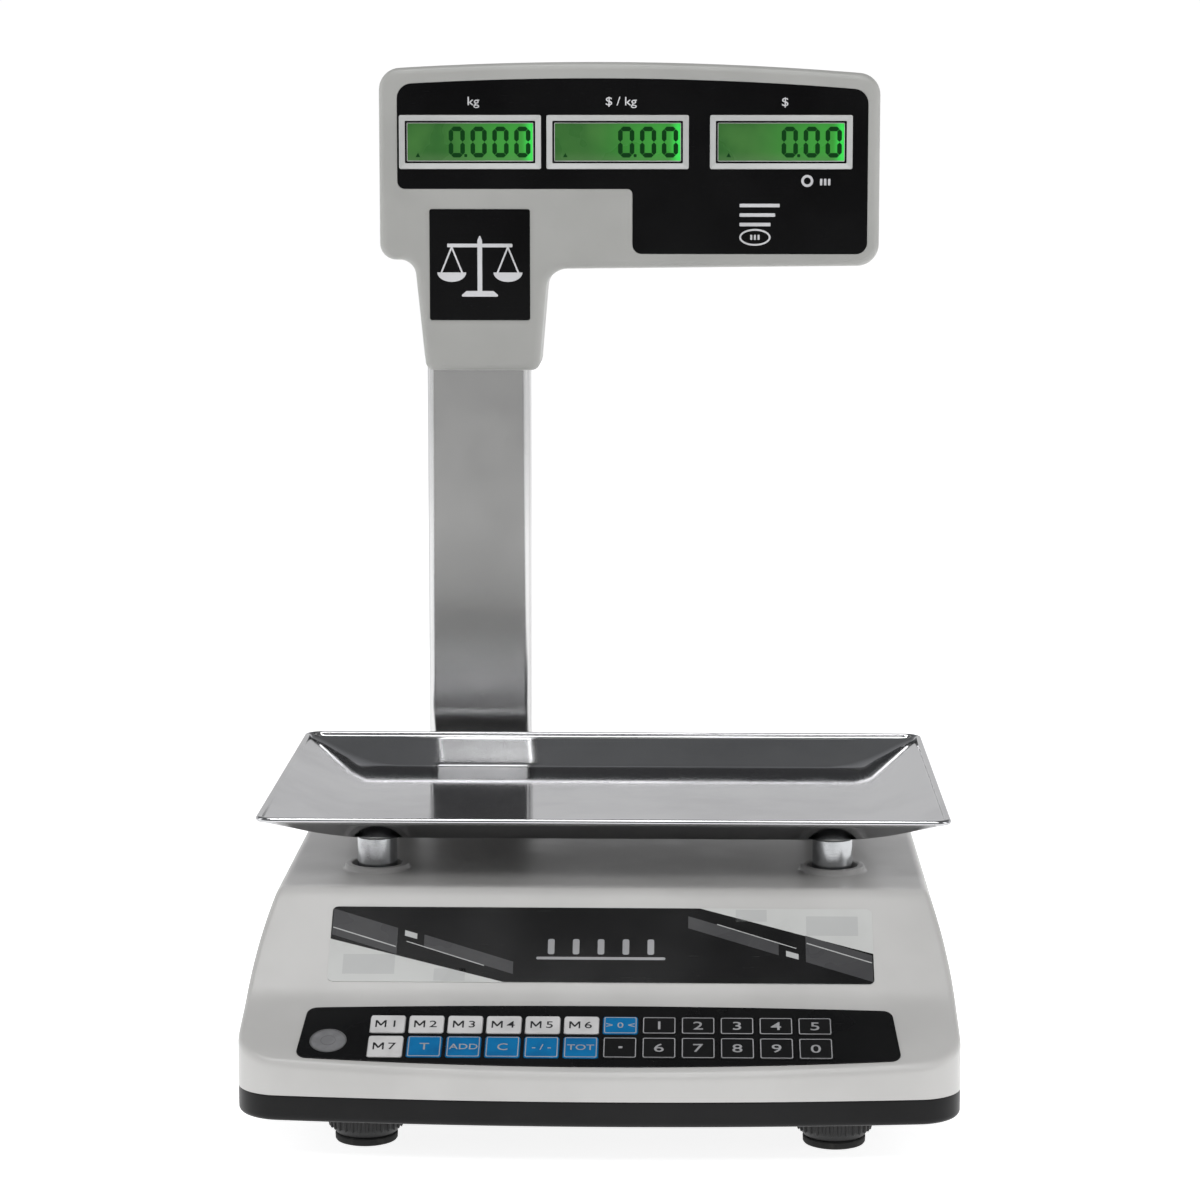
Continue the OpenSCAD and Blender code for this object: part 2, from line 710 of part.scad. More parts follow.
module load_cell() color("silver") {
  difference() {
    block([-cell_w / 2, pan_y - cell_l / 2, cell_z], [cell_w / 2, pan_y + cell_l / 2, cell_top]);
    for (j = [-1, 1]) translate([-cell_w / 2 - cut, pan_y + j * 11, (cell_z + cell_top) / 2])
      rotate([0, 90, 0]) cylinder(r = cell_h / 2 - 3, h = cell_w + 2 * cut);
    block([-cell_w / 2 - cut, pan_y - 11, (cell_z + cell_top) / 2 - 3],
      [cell_w / 2 + cut, pan_y + 11, (cell_z + cell_top) / 2 + 3]);
    for (j = [-1, 1], k = [0, 1])
      translate([0, pan_y + j * (cell_l / 2 - bolt_edge - k * bolt_step), cell_z - cut])
        cylinder(r = bolt_r, h = cell_h + 2 * cut);
  }
}

// A hexagon-socket bolt that points down: its head's underside is at z = 0
module bolt(length) {
  difference() {
    union() {
      cylinder(r = bolt_head_r, h = bolt_head_h);
      translate([0, 0, -length]) cylinder(r = bolt_r, h = length + cut);
    }
    translate([0, 0, bolt_head_h - 2]) cylinder(r = bolt_r * 0.7, h = 2 + cut, $fn = 6);
  }
}

module frame_bolts() color("dimgray") {
  for (k = [0, 1])
    translate([0, pan_y + cell_l / 2 - bolt_edge - k * bolt_step, cell_top]) bolt(cell_h + 14);
  for (p = pole_bolts) translate([p.x, pole_y + sleeve_d / 2, p.y]) rotate([-90, 0, 0]) bolt(sleeve_d - 1);
}

module platform_bolts() color("dimgray") {
  for (k = [0, 1])
    translate([0, pan_y - cell_l / 2 + bolt_edge + k * bolt_step, arm_top]) bolt(arm_t + 4 + cell_h - 2);
}

module platform_outline() {
  arm_l = norm([post_x, post_y]) / 2;
  for (i = [-1, 1], j = [-1, 1]) {
    rotate(atan2(j * post_y, i * post_x)) translate([0, -arm_w / 2]) square([arm_l, arm_w]);
    translate([i * post_x / 2, j * post_y / 2]) circle(r = post_r + 4);
  }
  translate([-cell_w / 2, -cell_l / 2]) square([cell_w, cell_l / 2 + 12]);
}

module load_platform() color("darkgray") {
  difference() {
    union() {
      translate([0, pan_y, arm_z]) linear_extrude(arm_t) platform_outline();
      block([-cell_w / 2, pan_y - cell_l / 2, cell_top], [cell_w / 2, pan_y - cell_l / 2 + 38, arm_z + cut]);
    }
    for (k = [0, 1]) translate([0, pan_y - cell_l / 2 + bolt_edge + k * bolt_step, cell_top - cut])
      cylinder(r = bolt_r, h = arm_t + 4 + 2 * cut);
  }
}

module pan_posts() color("lightgray") {
  at_posts() difference() {
    translate([0, 0, arm_top]) cylinder(r = post_r, h = post_top - arm_top);
    translate([0, 0, post_top - seat_stem]) cylinder(r = post_r / 3, h = seat_stem + cut);
  }
}

module pan_seats() color("whitesmoke") {
  at_posts() {
    translate([0, 0, post_top]) cylinder(r = post_r, h = seat_t);
    translate([0, 0, post_top - seat_stem]) cylinder(r = post_r / 3, h = seat_stem + cut);
  }
}

// A dish with sloped walls: two trough profiles that cross
module dish(w, low) {
  x1 = pan_w / 2 - 2;
  y1 = pan_d / 2 - 2;
  x0 = pan_w / 2 - pan_slope_x;
  y0 = pan_d / 2 - pan_slope_y;
  up = 3;
  gx = (x1 - x0) / pan_h;
  gy = (y1 - y0) / pan_h;
  translate([0, pan_y, pan_z + low]) intersection() {
    slab(inset([[-x0, 0], [x0, 0], [x1 + gx * up, pan_h + up], [-x1 - gx * up, pan_h + up]], w),
      -big / 2, big / 2);
    translate([-big / 2, 0, 0]) rotate([90, 0, 90]) linear_extrude(big)
      polygon(inset([[-y0, 0], [y0, 0], [y1 + gy * up, pan_h + up], [-y1 - gy * up, pan_h + up]], w));
    translate([0, 0, -cut]) linear_extrude(pan_h + cut + up)
      square([pan_w - 2.5, pan_d - 2.5], center = true);
  }
}

module weighing_pan() color("silver") {
  rim = box_corners(pan_w, pan_d, 8);
  difference() {
    union() {
      intersection() {
        dish(0, 0);
        translate([0, pan_y, pan_z]) linear_extrude(pan_h)
          polygon(rounded(box_corners(pan_w - 3, pan_d - 3, 7)));
      }
      translate([0, pan_y, rim_z - 3.2]) linear_extrude(3.2) polygon(rounded(rim));
    }
    dish(pan_sheet, 0);
    translate([0, pan_y, rim_z - 1.5]) linear_extrude(3)
      polygon(rounded(box_corners(pan_w - 6, pan_d - 6, 5.5)));
  }
}

// ---- Feet ---------------------------------------------------------------------------------

module foot_knob(k) color([0.08, 0.08, 0.08]) {
  translate(foot_pos(k)) difference() {
    union() {
      rotate_extrude() polygon(concat(
        [[0, pad_h + 0.05], [foot_r - 4, pad_h + 0.05], [foot_r - 1.6, pad_h + 3]],
        [[foot_r, knob_top - 4], [foot_r, knob_top - 1], [foot_r - 1, knob_top], [0, knob_top]]
      ));
      translate([0, 0, knob_top - cut]) cylinder(r = stud_r, h = foot_boss_h + 4);
    }
    translate([0, 0, pad_h - cut]) cylinder(r = pad_stem_r + 0.3, h = 6 + cut);
  }
}

module foot_pad(k) color([0.2, 0.2, 0.2]) {
  translate(foot_pos(k)) {
    rotate_extrude() polygon([[0, 0], [pad_r - 1, 0], [pad_r, 1], [pad_r, pad_h], [0, pad_h]]);
    translate([0, 0, pad_h - cut]) cylinder(r = pad_stem_r, h = 5 + cut);
  }
}

// ---- Pole ---------------------------------------------------------------------------------

module pole_bracket() color("gray") {
  low = floor_gap - bracket_wall;
  difference() {
    union() {
      block([pole_x - 48, back_y - 31, low], [pole_x + 48, back_y + bracket_gap, floor_gap]);
      block([pole_x - sleeve_w / 2, back_y, low], [pole_x + sleeve_w / 2, pole_y + sleeve_d / 2, floor_gap]);
      block([pole_x - sleeve_w / 2, pole_y - sleeve_d / 2, low],
        [pole_x + sleeve_w / 2, pole_y + sleeve_d / 2, sleeve_top]);
    }
    translate([pole_x, pole_y, floor_gap]) linear_extrude(big)
      polygon(rounded(box_corners(pole_w + 2 * pole_fit, pole_d + 2 * pole_fit, tube_r)));
    for (p = bracket_screws)
      translate([p.x, p.y, low - cut]) cylinder(r = screw_r, h = bracket_wall + 2 * cut);
    for (p = pole_bolts) rod_y(p.x, pole_y - sleeve_d / 2 + 1, pole_y + sleeve_d / 2 + cut, p.y, bolt_r);
    block([cable_x - cable_w / 2 - cable_gap, pole_y - sleeve_d / 2 - cut, port_z - cable_gap - cable_t],
      [cable_x + cable_w / 2 + cable_gap, pole_y - pole_d / 2 + cut, port_z + cable_gap + cable_t]);
  }
}

module pole_tube() color("silver") {
  difference() {
    translate([pole_x, pole_y, floor_gap]) linear_extrude(pole_top - floor_gap)
      polygon(rounded(box_corners(pole_w, pole_d, tube_r)));
    translate([pole_x, pole_y, floor_gap - cut]) linear_extrude(pole_top - floor_gap + 2 * cut)
      polygon(rounded(box_corners(pole_w - 2 * pole_wall, pole_d - 2 * pole_wall, tube_r - pole_wall)));
    for (p = pole_bolts) rod_y(p.x, pole_y - pole_d, pole_y + pole_d, p.y, bolt_r);
    for (p = neck_screws) rod_y(p.x, pole_y, pole_y + pole_d, p.y, screw_r);
    block([cable_x - cable_w / 2 - cable_gap, pole_y - pole_d / 2 - cut, port_z - cable_gap - cable_t],
      [cable_x + cable_w / 2 + cable_gap, pole_y - pole_d / 2 + pole_wall + cut,
        port_z + cable_gap + cable_t]);
  }
}

module display_cable() color("gray") {
  x0 = cable_x - cable_w / 2;
  x1 = cable_x + cable_w / 2;
  main_back = main_y + main_l / 2;
  drop_y = back_y - 22;
  block([x0, pole_y - cable_t / 2, port_z - cable_t / 2], [x1, pole_y + cable_t / 2, window_z - 22]);
  block([x0, drop_y, port_z - cable_t / 2], [x1, pole_y + cable_t / 2, port_z + cable_t / 2]);
  block([x0, drop_y, main_z + 4], [x1, drop_y + cable_t, port_z + cable_t / 2]);
  block([x0, main_back - 5, main_z + 9], [x1, drop_y + cable_t, main_z + 9 + cable_t]);
}

// ---- Display head -------------------------------------------------------------------------

module head_solid(y0, y1) {
  difference() {
    slab(head_outline, y0, y1);
    block([pole_x - pole_w / 2 - neck_clear, pole_y - pole_d / 2 - neck_clear, neck_z - cut],
      [pole_x + pole_w / 2 + neck_clear, pole_y + pole_d / 2 + neck_clear, pole_top + 0.5]);
    block([cable_x - cable_w / 2 - 3, pole_y - 8, pole_top - cut],
      [cable_x + cable_w / 2 + 3, pole_y + 8, head_z + shelf]);
  }
}

module window_cuts(y0, y1) {
  for (x = windows)
    block([x - glass_w / 2, y0, window_z - glass_h / 2], [x + glass_w / 2, y1, window_z + glass_h / 2]);
}

module head_front() color("gainsboro") {
  difference() {
    union() {
      difference() {
        head_solid(head_front_y, pole_y);
        slab(cavity_outline, head_front_y + wall, pole_y + cut);
      }
      for (p = head_screws) rod_y(p.x, head_front_y + wall / 2, pole_y, p.y, 4.5);
    }
    slab(inset(overlay_outline, -panel_gap), head_front_y - cut, head_front_y + overlay_t);
    window_cuts(head_front_y - cut, head_front_y + wall + cut);
    for (p = head_screws) rod_y(p.x, pole_y - 14, pole_y + cut, p.y, screw_r);
  }
}

module head_back() color("gainsboro") {
  difference() {
    union() {
      difference() {
        head_solid(pole_y, head_back_y);
        slab(cavity_outline, pole_y - cut, head_back_y - wall);
      }
      for (p = head_screws) rod_y(p.x, pole_y, head_back_y - wall / 2, p.y, screw_head_r + 2);
    }
    slab(inset(overlay_outline, -panel_gap), head_back_y - overlay_t, head_back_y + cut);
    window_cuts(head_back_y - wall - cut, head_back_y + cut);
    for (p = head_screws) {
      rod_y(p.x, pole_y - cut, head_back_y, p.y, screw_r);
      rod_y(p.x, head_back_y - 6, head_back_y + cut, p.y, screw_head_r + 0.4);
    }
    for (p = neck_screws) {
      rod_y(p.x, pole_y, head_back_y, p.y, screw_r);
      rod_y(p.x, head_back_y - screw_head_h, head_back_y + cut, p.y, screw_head_r + 0.4);
    }
  }
}

module display_overlays() color([0.06, 0.06, 0.07]) {
  for (y = [head_front_y, head_back_y - overlay_t]) difference() {
    slab(overlay_outline, y, y + overlay_t);
    for (x = windows)
      block([x - window_w / 2, y - cut, window_z - window_h / 2],
        [x + window_w / 2, y + overlay_t + cut, window_z + window_h / 2]);
  }
}

module display_glasses() color([0.3, 0.45, 0.3]) {
  for (x = windows, y = [head_front_y + overlay_t, head_back_y - overlay_t - glass_t])
    block([x - glass_w / 2 + 0.2, y, window_z - glass_h / 2 + 0.2],
      [x + glass_w / 2 - 0.2, y + glass_t, window_z + glass_h / 2 - 0.2]);
}

module display_board() color("darkgreen") {
  deep = head_d / 2 - overlay_t - glass_t;
  block([windows[0] - glass_w / 2, pole_y - pcb / 2, window_z - 22],
    [windows[2] + glass_w / 2, pole_y + pcb / 2, window_z + 22]);
  for (x = windows)
    block([x - window_w / 2, pole_y - deep, window_z - window_h / 2],
      [x + window_w / 2, pole_y + deep, window_z + window_h / 2]);
}

top_cover();
bottom_tray();
keypad_overlay();
keypad_board();
film_labels();
level_vial();
main_board();
battery();
battery_door();
power_inlet();
switch_housing();
power_rocker();
housing_screws();
load_cell();
frame_bolts();
platform_bolts();
load_platform();
pan_posts();
pan_seats();
weighing_pan();
pole_bracket();
pole_tube();
display_cable();
head_front();
head_back();
display_overlays();
display_glasses();
display_board();
for (k = [0 : 3]) foot_knob(k);
for (k = [0 : 3]) foot_pad(k);
for (i = [0 : len(KEYS) - 1]) key(i);
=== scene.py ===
import math

import bmesh
import bpy
import numpy as np
from mathutils import Matrix
from mathutils.geometry import delaunay_2d_cdt


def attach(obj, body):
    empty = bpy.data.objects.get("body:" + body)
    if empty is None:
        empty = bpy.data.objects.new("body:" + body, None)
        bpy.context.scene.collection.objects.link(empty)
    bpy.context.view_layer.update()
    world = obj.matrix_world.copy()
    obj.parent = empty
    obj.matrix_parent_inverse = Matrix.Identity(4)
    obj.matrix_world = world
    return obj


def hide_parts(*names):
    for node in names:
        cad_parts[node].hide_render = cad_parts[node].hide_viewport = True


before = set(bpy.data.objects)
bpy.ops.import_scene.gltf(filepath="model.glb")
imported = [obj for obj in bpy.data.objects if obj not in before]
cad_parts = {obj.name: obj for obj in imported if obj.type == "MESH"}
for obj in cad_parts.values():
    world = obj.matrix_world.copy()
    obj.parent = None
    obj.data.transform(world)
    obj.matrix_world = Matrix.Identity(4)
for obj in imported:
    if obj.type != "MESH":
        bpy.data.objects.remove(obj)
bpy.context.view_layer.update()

# ---- Camera ---------------------------------------------------------------------------------
# A long lens a little above the pan, square to the front of the scale.
scene = bpy.context.scene
scene.view_settings.view_transform = "Standard"
camera_data = bpy.data.cameras.new("camera")
camera_data.lens = 105.83
camera_data.sensor_width = 36
camera = bpy.data.objects.new("camera", camera_data)
camera.location = (0.0404, -1.78855, 0.4949)
camera.rotation_euler = (math.radians(90 - 8.113), 0, 0.02465)
scene.collection.objects.link(camera)
scene.camera = camera


# ---- Room and light -------------------------------------------------------------------------
# A pale floor under a white surround, soft boxes overhead, in front and at both sides, and a room
# that is bright behind and dim in front and overhead, which the polished steel mirrors.
class Signal:
    """The value of a socket. A sum, a product or an absolute value of it adds a Math node."""

    def __init__(self, wiring, socket):
        self.wiring = wiring
        self.socket = socket

    def math(self, operation, *values):
        return self.wiring.node("ShaderNodeMath", {"operation": operation}, values)

    def __add__(self, other):
        return self.math("ADD", self, other)

    def __mul__(self, other):
        return self.math("MULTIPLY", self, other)

    def __abs__(self):
        return self.math("ABSOLUTE", self)


class Wiring:
    """A node tree that is filled node by node."""

    def __init__(self, tree):
        self.tree = tree

    def node(self, kind, settings, values, out=0):
        made = self.tree.nodes.new(kind)
        for key, value in settings.items():
            setattr(made, key, value)
        pairs = values.items() if isinstance(values, dict) else enumerate(values)
        for key, value in pairs:
            if isinstance(value, Signal):
                self.tree.links.new(value.socket, made.inputs[key])
            else:
                made.inputs[key].default_value = value
        return Signal(self, made.outputs[out])

    def split(self, vector):
        parts = self.node("ShaderNodeSeparateXYZ", {}, [vector])
        return [Signal(self, out) for out in parts.socket.node.outputs]

    def ramp(self, value, low, high, to_low=0.0, to_high=1.0):
        """A smooth step from to_low to to_high as value goes from low to high."""
        return self.node("ShaderNodeMapRange", {"interpolation_type": "SMOOTHSTEP"},
                         [value, low, high, to_low, to_high])

    def mixed(self, mask, without, full):
        """One colour where mask is 0 and the other where it is 1."""
        return self.node("ShaderNodeMix", {"data_type": "RGBA"}, {0: mask, 6: without, 7: full}, 2)

    def geometry(self, kind, **values):
        """A geometry node with its inputs set by name, with _ for a space."""
        return self.node("GeometryNode" + kind, {}, {key.replace("_", " "): v for key, v in values.items()})

    def gather(self, kind, settings, parts, into, given=None):
        """A node with one socket that takes several parts."""
        made = self.node(kind, settings, given or {})
        for part in parts:
            self.tree.links.new(part.socket, made.socket.node.inputs[into])
        return made


def tone(*levels):
    """A colour given as it reads on a screen, 0 to 255, in linear light."""
    linear = [c / 255 / 12.92 if c <= 10 else ((c / 255 + 0.055) / 1.055) ** 2.4 for c in levels]
    return (*linear, 1.0)


class Finish(Wiring):
    """A material on one principled shader. Flat values go in by name, with _ for a space."""

    def __init__(self, name, **flat):
        self.material = bpy.data.materials.new(name)
        self.material.use_nodes = True
        super().__init__(self.material.node_tree)
        self.shader = self.tree.nodes["Principled BSDF"]
        for key, value in flat.items():
            self.shader.inputs[key.replace("_", " ")].default_value = value
        self.place = self.node("ShaderNodeTexCoord", {}, {}, "Object")

    def feed(self, **signals):
        for key, signal in signals.items():
            self.tree.links.new(signal.socket, self.shader.inputs[key.replace("_", " ")])
        return self

    def noise(self, scale, detail=2.0, stretch=(1, 1, 1), rough=0.5):
        place = self.place
        if stretch != (1, 1, 1):
            place = self.node("ShaderNodeMapping", {}, {"Vector": place, "Scale": stretch})
        values = {"Vector": place, "Scale": scale, "Detail": detail, "Roughness": rough}
        return self.node("ShaderNodeTexNoise", {}, values)

    def bump(self, height, depth, strength=1.0, over=None):
        """Height in millimetres of a relief of this depth; over is a bump under this one."""
        values = {"Height": height, "Distance": depth * 0.001, "Strength": strength}
        if over is not None:
            values["Normal"] = over
        return self.node("ShaderNodeBump", {}, values)


room = bpy.data.worlds.new("room")
scene.world = room
room.use_nodes = True
room_wiring = Wiring(room.node_tree)
toward = room_wiring.split(room_wiring.node("ShaderNodeTexCoord", {}, {}, "Generated"))
in_front = room_wiring.ramp(toward[1] * -1, 0.0, 0.4)
overhead = room_wiring.ramp(toward[2], 0.25, 0.75)
low_front = in_front * room_wiring.ramp(toward[2], 0.30, 0.2)
room_light = room_wiring.mixed(overhead, (0.55, 0.56, 0.58, 1), (0.2, 0.205, 0.21, 1))
room_light = room_wiring.mixed(low_front, room_light, (0.09, 0.09, 0.092, 1))
low_behind = room_wiring.ramp(toward[1], 0.3, 0.6) * room_wiring.ramp(toward[2], 0.45, 0.25)
room_light = room_wiring.mixed(low_behind, room_light, (1.45, 1.45, 1.46, 1))
seen = room_wiring.node("ShaderNodeLightPath", {}, {}, "Is Camera Ray")
room_light = room_wiring.mixed(seen, room_light, (1.36, 1.36, 1.36, 1))
background = room.node_tree.nodes["Background"]
room.node_tree.links.new(room_light.socket, background.inputs["Color"])
background.inputs["Strength"].default_value = 0.75


def soft_box(name, width, height, power, place, aim):
    """An area light at place that faces aim."""
    data = bpy.data.lights.new(name, "AREA")
    data.shape = "RECTANGLE"
    data.size = width
    data.size_y = height
    data.energy = power
    lamp = bpy.data.objects.new(name, data)
    lamp.location = place
    direction = [a - p for a, p in zip(aim, place)]
    pitch = math.atan2(math.hypot(direction[0], direction[1]), -direction[2])
    lamp.rotation_euler = (pitch, 0, math.atan2(-direction[0], direction[1]))
    scene.collection.objects.link(lamp)


soft_box("key_light", 3.0, 0.5, 60, (-0.35, -1.05, 4.0), (0, -0.1, 0.1))
soft_box("front_light", 1.8, 0.6, 16, (0.3, -1.95, 2.0), (0, 0, 0.2))
soft_box("side_light", 0.8, 1.4, 6, (1.9, -0.5, 0.9), (0, 0, 0.2))
soft_box("edge_light", 0.8, 1.4, 5, (-1.9, 0.0, 0.9), (0, 0, 0.2))


def merge(shapes):
    """One shape, as points and faces, out of several."""
    points, faces = [], []
    for some_points, some_faces in shapes:
        start = len(points)
        points += [tuple(p) for p in some_points]
        faces += [[start + i for i in face] for face in some_faces]
    return points, faces


def make_mesh(name, points, faces):
    """A mesh from points in millimetres, with doubles merged."""
    mesh = bpy.data.meshes.new(name)
    mesh.from_pydata([[c * 0.001 for c in p] for p in points], [], faces)
    shape = bmesh.new()
    shape.from_mesh(mesh)
    bmesh.ops.remove_doubles(shape, verts=shape.verts, dist=2e-6)
    loose = [v for v in shape.verts if not v.link_faces]
    bmesh.ops.delete(shape, geom=loose, context="VERTS")
    shape.to_mesh(mesh)
    shape.free()
    mesh.update()
    return mesh


def make_object(name, shapes, finish, sharp=35):
    """One object from shapes, smooth but for edges over the sharp angle."""
    mesh = make_mesh(name, *merge(shapes))
    mesh.materials.append(finish.material)
    piece = bpy.data.objects.new(name, mesh)
    scene.collection.objects.link(piece)
    mesh.shade_smooth()
    mesh.set_sharp_from_angle(angle=math.radians(sharp))
    return piece


paper = Finish("stage_paper", Roughness=0.9, Specular_IOR_Level=0.1, Emission_Strength=0.9,
               Emission_Color=(0.97, 0.97, 0.97, 1))
paper.feed(Base_Color=paper.mixed(paper.noise(3.0), (0.80, 0.80, 0.80, 1), (0.84, 0.84, 0.84, 1)))
FLOOR_HALF = 5000.0
floor_points = [(i * FLOOR_HALF, j * FLOOR_HALF, 0) for i, j in ((-1, -1), (1, -1), (1, 1), (-1, 1))]
stage = make_object("stage_floor", [(floor_points, [(0, 1, 2, 3)])], paper)
# A card on the floor in front of the scale, dark near it and pale beyond, that only mirrors show.
APRON_HALF, APRON_NEAR, APRON_FAR = 900, -740, -7000
card = Finish("stage_card", Base_Color=(0, 0, 0, 1), Roughness=1.0, Specular_IOR_Level=0.0,
              Emission_Strength=1.0)
card_y = card.split(card.place)[1]
card_tone = card.mixed(card.ramp(card_y, -1.24, -1.3), (0.03, 0.03, 0.032, 1), (0.62, 0.62, 0.61, 1))
card.feed(Emission_Color=card_tone)
apron_points = [(-APRON_HALF, APRON_FAR, 3), (APRON_HALF, APRON_FAR, 3),
                (APRON_HALF, APRON_NEAR, 3), (-APRON_HALF, APRON_NEAR, 3)]
apron = make_object("stage_apron", [(apron_points, [(0, 1, 2, 3)])], card)
apron.visible_camera = False
apron.visible_shadow = False

# ---- Top cover ------------------------------------------------------------------------------
# The upper half of the case is one white ABS moulding with a fine spark texture: an upright lip,
# a key slope, a steeper label slope and a flat platform with four collars round the post holes.
BASE_W = 340.0
WALL = 2.5
FRONT_Y, CREASE_Y, PLATFORM_Y, BACK_Y = -204.45, -152.95, -102.95, 163.55
TRAY_TOP, LIP_Z, CREASE_Z, PLATFORM_Z = 34.0, 47.0, 69.0, 112.0
FRONT_BOW, CORNER_R, BACK_R = 10.0, 22.0, 16.0
SIDE_R, SIDE_Z = 165.0, 52.0
EDGE_R = 3.4
KEY_ANGLE = math.atan2(CREASE_Z - LIP_Z, CREASE_Y - FRONT_Y)
LABEL_ANGLE = math.atan2(PLATFORM_Z - CREASE_Z, PLATFORM_Y - CREASE_Y)
KEY_SHIFT = 1.0
KEY_WINDOW = (110.3, 9.9, 44.0)
VIAL_X, VIAL_S, VIAL_R = -126.8, 23.5, 8.65
PAN_Y = 14.05
POST_AT = [(i * 114.0, PAN_Y + j * 71.5) for i in (-1, 1) for j in (-1, 1)]
POST_HOLE_R = 12.5


def cover_height(y):
    """Height of the cover's top at y, with its two creases rounded."""
    knots = [(CREASE_Y, CREASE_Z, math.tan(KEY_ANGLE), math.tan(LABEL_ANGLE), 4.5),
             (PLATFORM_Y, PLATFORM_Z, math.tan(LABEL_ANGLE), 0.0, 3.5)]
    for at, height, before, after, reach in knots:
        u = y - at
        if abs(u) < reach:
            turn = after - before
            return height + (before + after) / 2 * u + turn / (4 * reach) * u * u + turn * reach / 4
    if y < CREASE_Y:
        return LIP_Z + (y - FRONT_Y) * math.tan(KEY_ANGLE)
    return min(PLATFORM_Z, CREASE_Z + (y - CREASE_Y) * math.tan(LABEL_ANGLE))


def arc(cx, cy, r, start, end, steps):
    """Points of an arc, in degrees, with the unit vector that points to its centre."""
    angles = [math.radians(start + (end - start) * i / steps) for i in range(steps + 1)]
    return [(cx + r * math.cos(a), cy + r * math.sin(a), -math.cos(a), -math.sin(a)) for a in angles]


def case_stations():
    """Points round the case in plan, anticlockwise, each with its inward direction."""
    bow_r = ((BASE_W / 2) ** 2 + FRONT_BOW ** 2) / (2 * FRONT_BOW)
    corner_x = BASE_W / 2 - CORNER_R
    bow = math.degrees(math.asin(corner_x / (bow_r - CORNER_R)))
    corner_y = FRONT_Y + bow_r - (bow_r - CORNER_R) * math.cos(math.radians(bow))
    back_x, back_at = BASE_W / 2 - BACK_R, BACK_Y - BACK_R
    side = [*np.arange(corner_y + 3, PLATFORM_Y + 8, 2.2), *np.linspace(PLATFORM_Y + 14, back_at - 2, 14)]
    rear = np.linspace(back_x - 8, 8 - back_x, 18)
    stations = arc(-corner_x, corner_y, CORNER_R, 180, 270 - bow, 14)
    stations += arc(0, FRONT_Y + bow_r, bow_r, 270 - bow, 270 + bow, 40)[1:-1]
    stations += arc(corner_x, corner_y, CORNER_R, 270 + bow, 360, 14)
    stations += [(BASE_W / 2, y, -1.0, 0.0) for y in side]
    stations += arc(back_x, back_at, BACK_R, 0, 90, 10)
    stations += [(x, BACK_Y, 0.0, -1.0) for x in rear]
    stations += arc(-back_x, back_at, BACK_R, 90, 180, 10)
    stations += [(-BASE_W / 2, y, 1.0, 0.0) for y in reversed(side)]
    return stations


def wall_lean(z):
    """How far the side walls are drawn in at height z."""
    return 0.0 if z <= SIDE_Z else SIDE_R - math.sqrt(SIDE_R ** 2 - (z - SIDE_Z) ** 2)


def cover_section(station):
    """The cover's section at a station, from the tray up the wall and over the edge."""
    x, y, in_x, in_y = station

    def at(inset, z):
        return (x + in_x * inset, y + in_y * inset, z)

    top = cover_height(y)
    for _ in range(4):
        lean = abs(in_x) * wall_lean(top)
        top = cover_height(y + in_y * lean)
    low_edge = top - EDGE_R
    section = []
    for i in range(11):
        z = TRAY_TOP + (low_edge - TRAY_TOP) * i / 10
        section.append(at(abs(in_x) * wall_lean(z), z))
    start, corner = section[-1], at(lean, top)
    over = at(lean + EDGE_R, cover_height(y + in_y * (lean + EDGE_R)))
    for i in range(1, 7):
        f = i / 6
        section.append(tuple((1 - f) ** 2 * a + 2 * f * (1 - f) * b + f * f * c
                             for a, b, c in zip(start, corner, over)))
    inner = lean + EDGE_R + 3
    section.append(at(inner, cover_height(y + in_y * inner)))
    return section


def inside(point, loop):
    """Whether a point lies within a closed loop."""
    x, y = point[0], point[1]
    hit = False
    for (x0, y0), (x1, y1) in zip(loop, loop[1:] + loop[:1]):
        if (y0 > y) != (y1 > y) and x < (x1 - x0) * (y - y0) / (y1 - y0) + x0:
            hit = not hit
    return hit


def fill(outline, holes, extra=()):
    """Triangles of the area between an outline and its holes: points and faces in the plane."""
    loops = [[tuple(p[:2]) for p in loop] for loop in (outline, *holes)]
    points, edges = [], []
    for loop in loops:
        start, count = len(points), len(loop)
        points += loop
        edges += [(start + i, start + (i + 1) % count) for i in range(count)]
    flat, _, faces, _, _, _ = delaunay_2d_cdt(points + [tuple(p[:2]) for p in extra], edges, [], 0, 1e-7)
    kept = []
    for face in faces:
        a, b, c = [flat[i] for i in face[:3]]
        middle = [(a[k] + b[k] + c[k]) / 3 for k in (0, 1)]
        if inside(middle, loops[0]) and not any(inside(middle, hole) for hole in loops[1:]):
            area = (b[0] - a[0]) * (c[1] - a[1]) - (b[1] - a[1]) * (c[0] - a[0])
            kept.append(tuple(face) if area > 0 else tuple(reversed(face)))
    return [(p[0], p[1]) for p in flat], kept


def loft(rings):
    """Faces between closed rings of as many points each, from low to high, seen from outside."""
    count = len(rings[0])
    faces = []
    for start in range(0, count * (len(rings) - 1), count):
        for i in range(count):
            k = (i + 1) % count
            faces.append((start + i, start + k, start + count + k, start + count + i))
    return [p for ring in rings for p in ring], faces


def ring(cx, cy, rx, ry, count):
    """Points of an upright ellipse, anticlockwise."""
    turns = [2 * math.pi * i / count for i in range(count)]
    return [(cx + rx * math.cos(a), cy + ry * math.sin(a)) for a in turns]


def lathe(profile, count=48, cx=0.0, cy=0.0):
    """A profile of (radius, height) turned about an upright axis: closed, or from axis to axis."""
    points, faces = loft([[(x, y, z) for x, y in ring(cx, cy, r, r, count)] for r, z in profile])
    keys = [tuple(round(c, 5) for c in p) for p in points]
    order = {key: i for i, key in enumerate(dict.fromkeys(keys))}
    merged = [tuple(dict.fromkeys(order[keys[i]] for i in face)) for face in faces]
    return list(order), [face for face in merged if len(face) > 2]


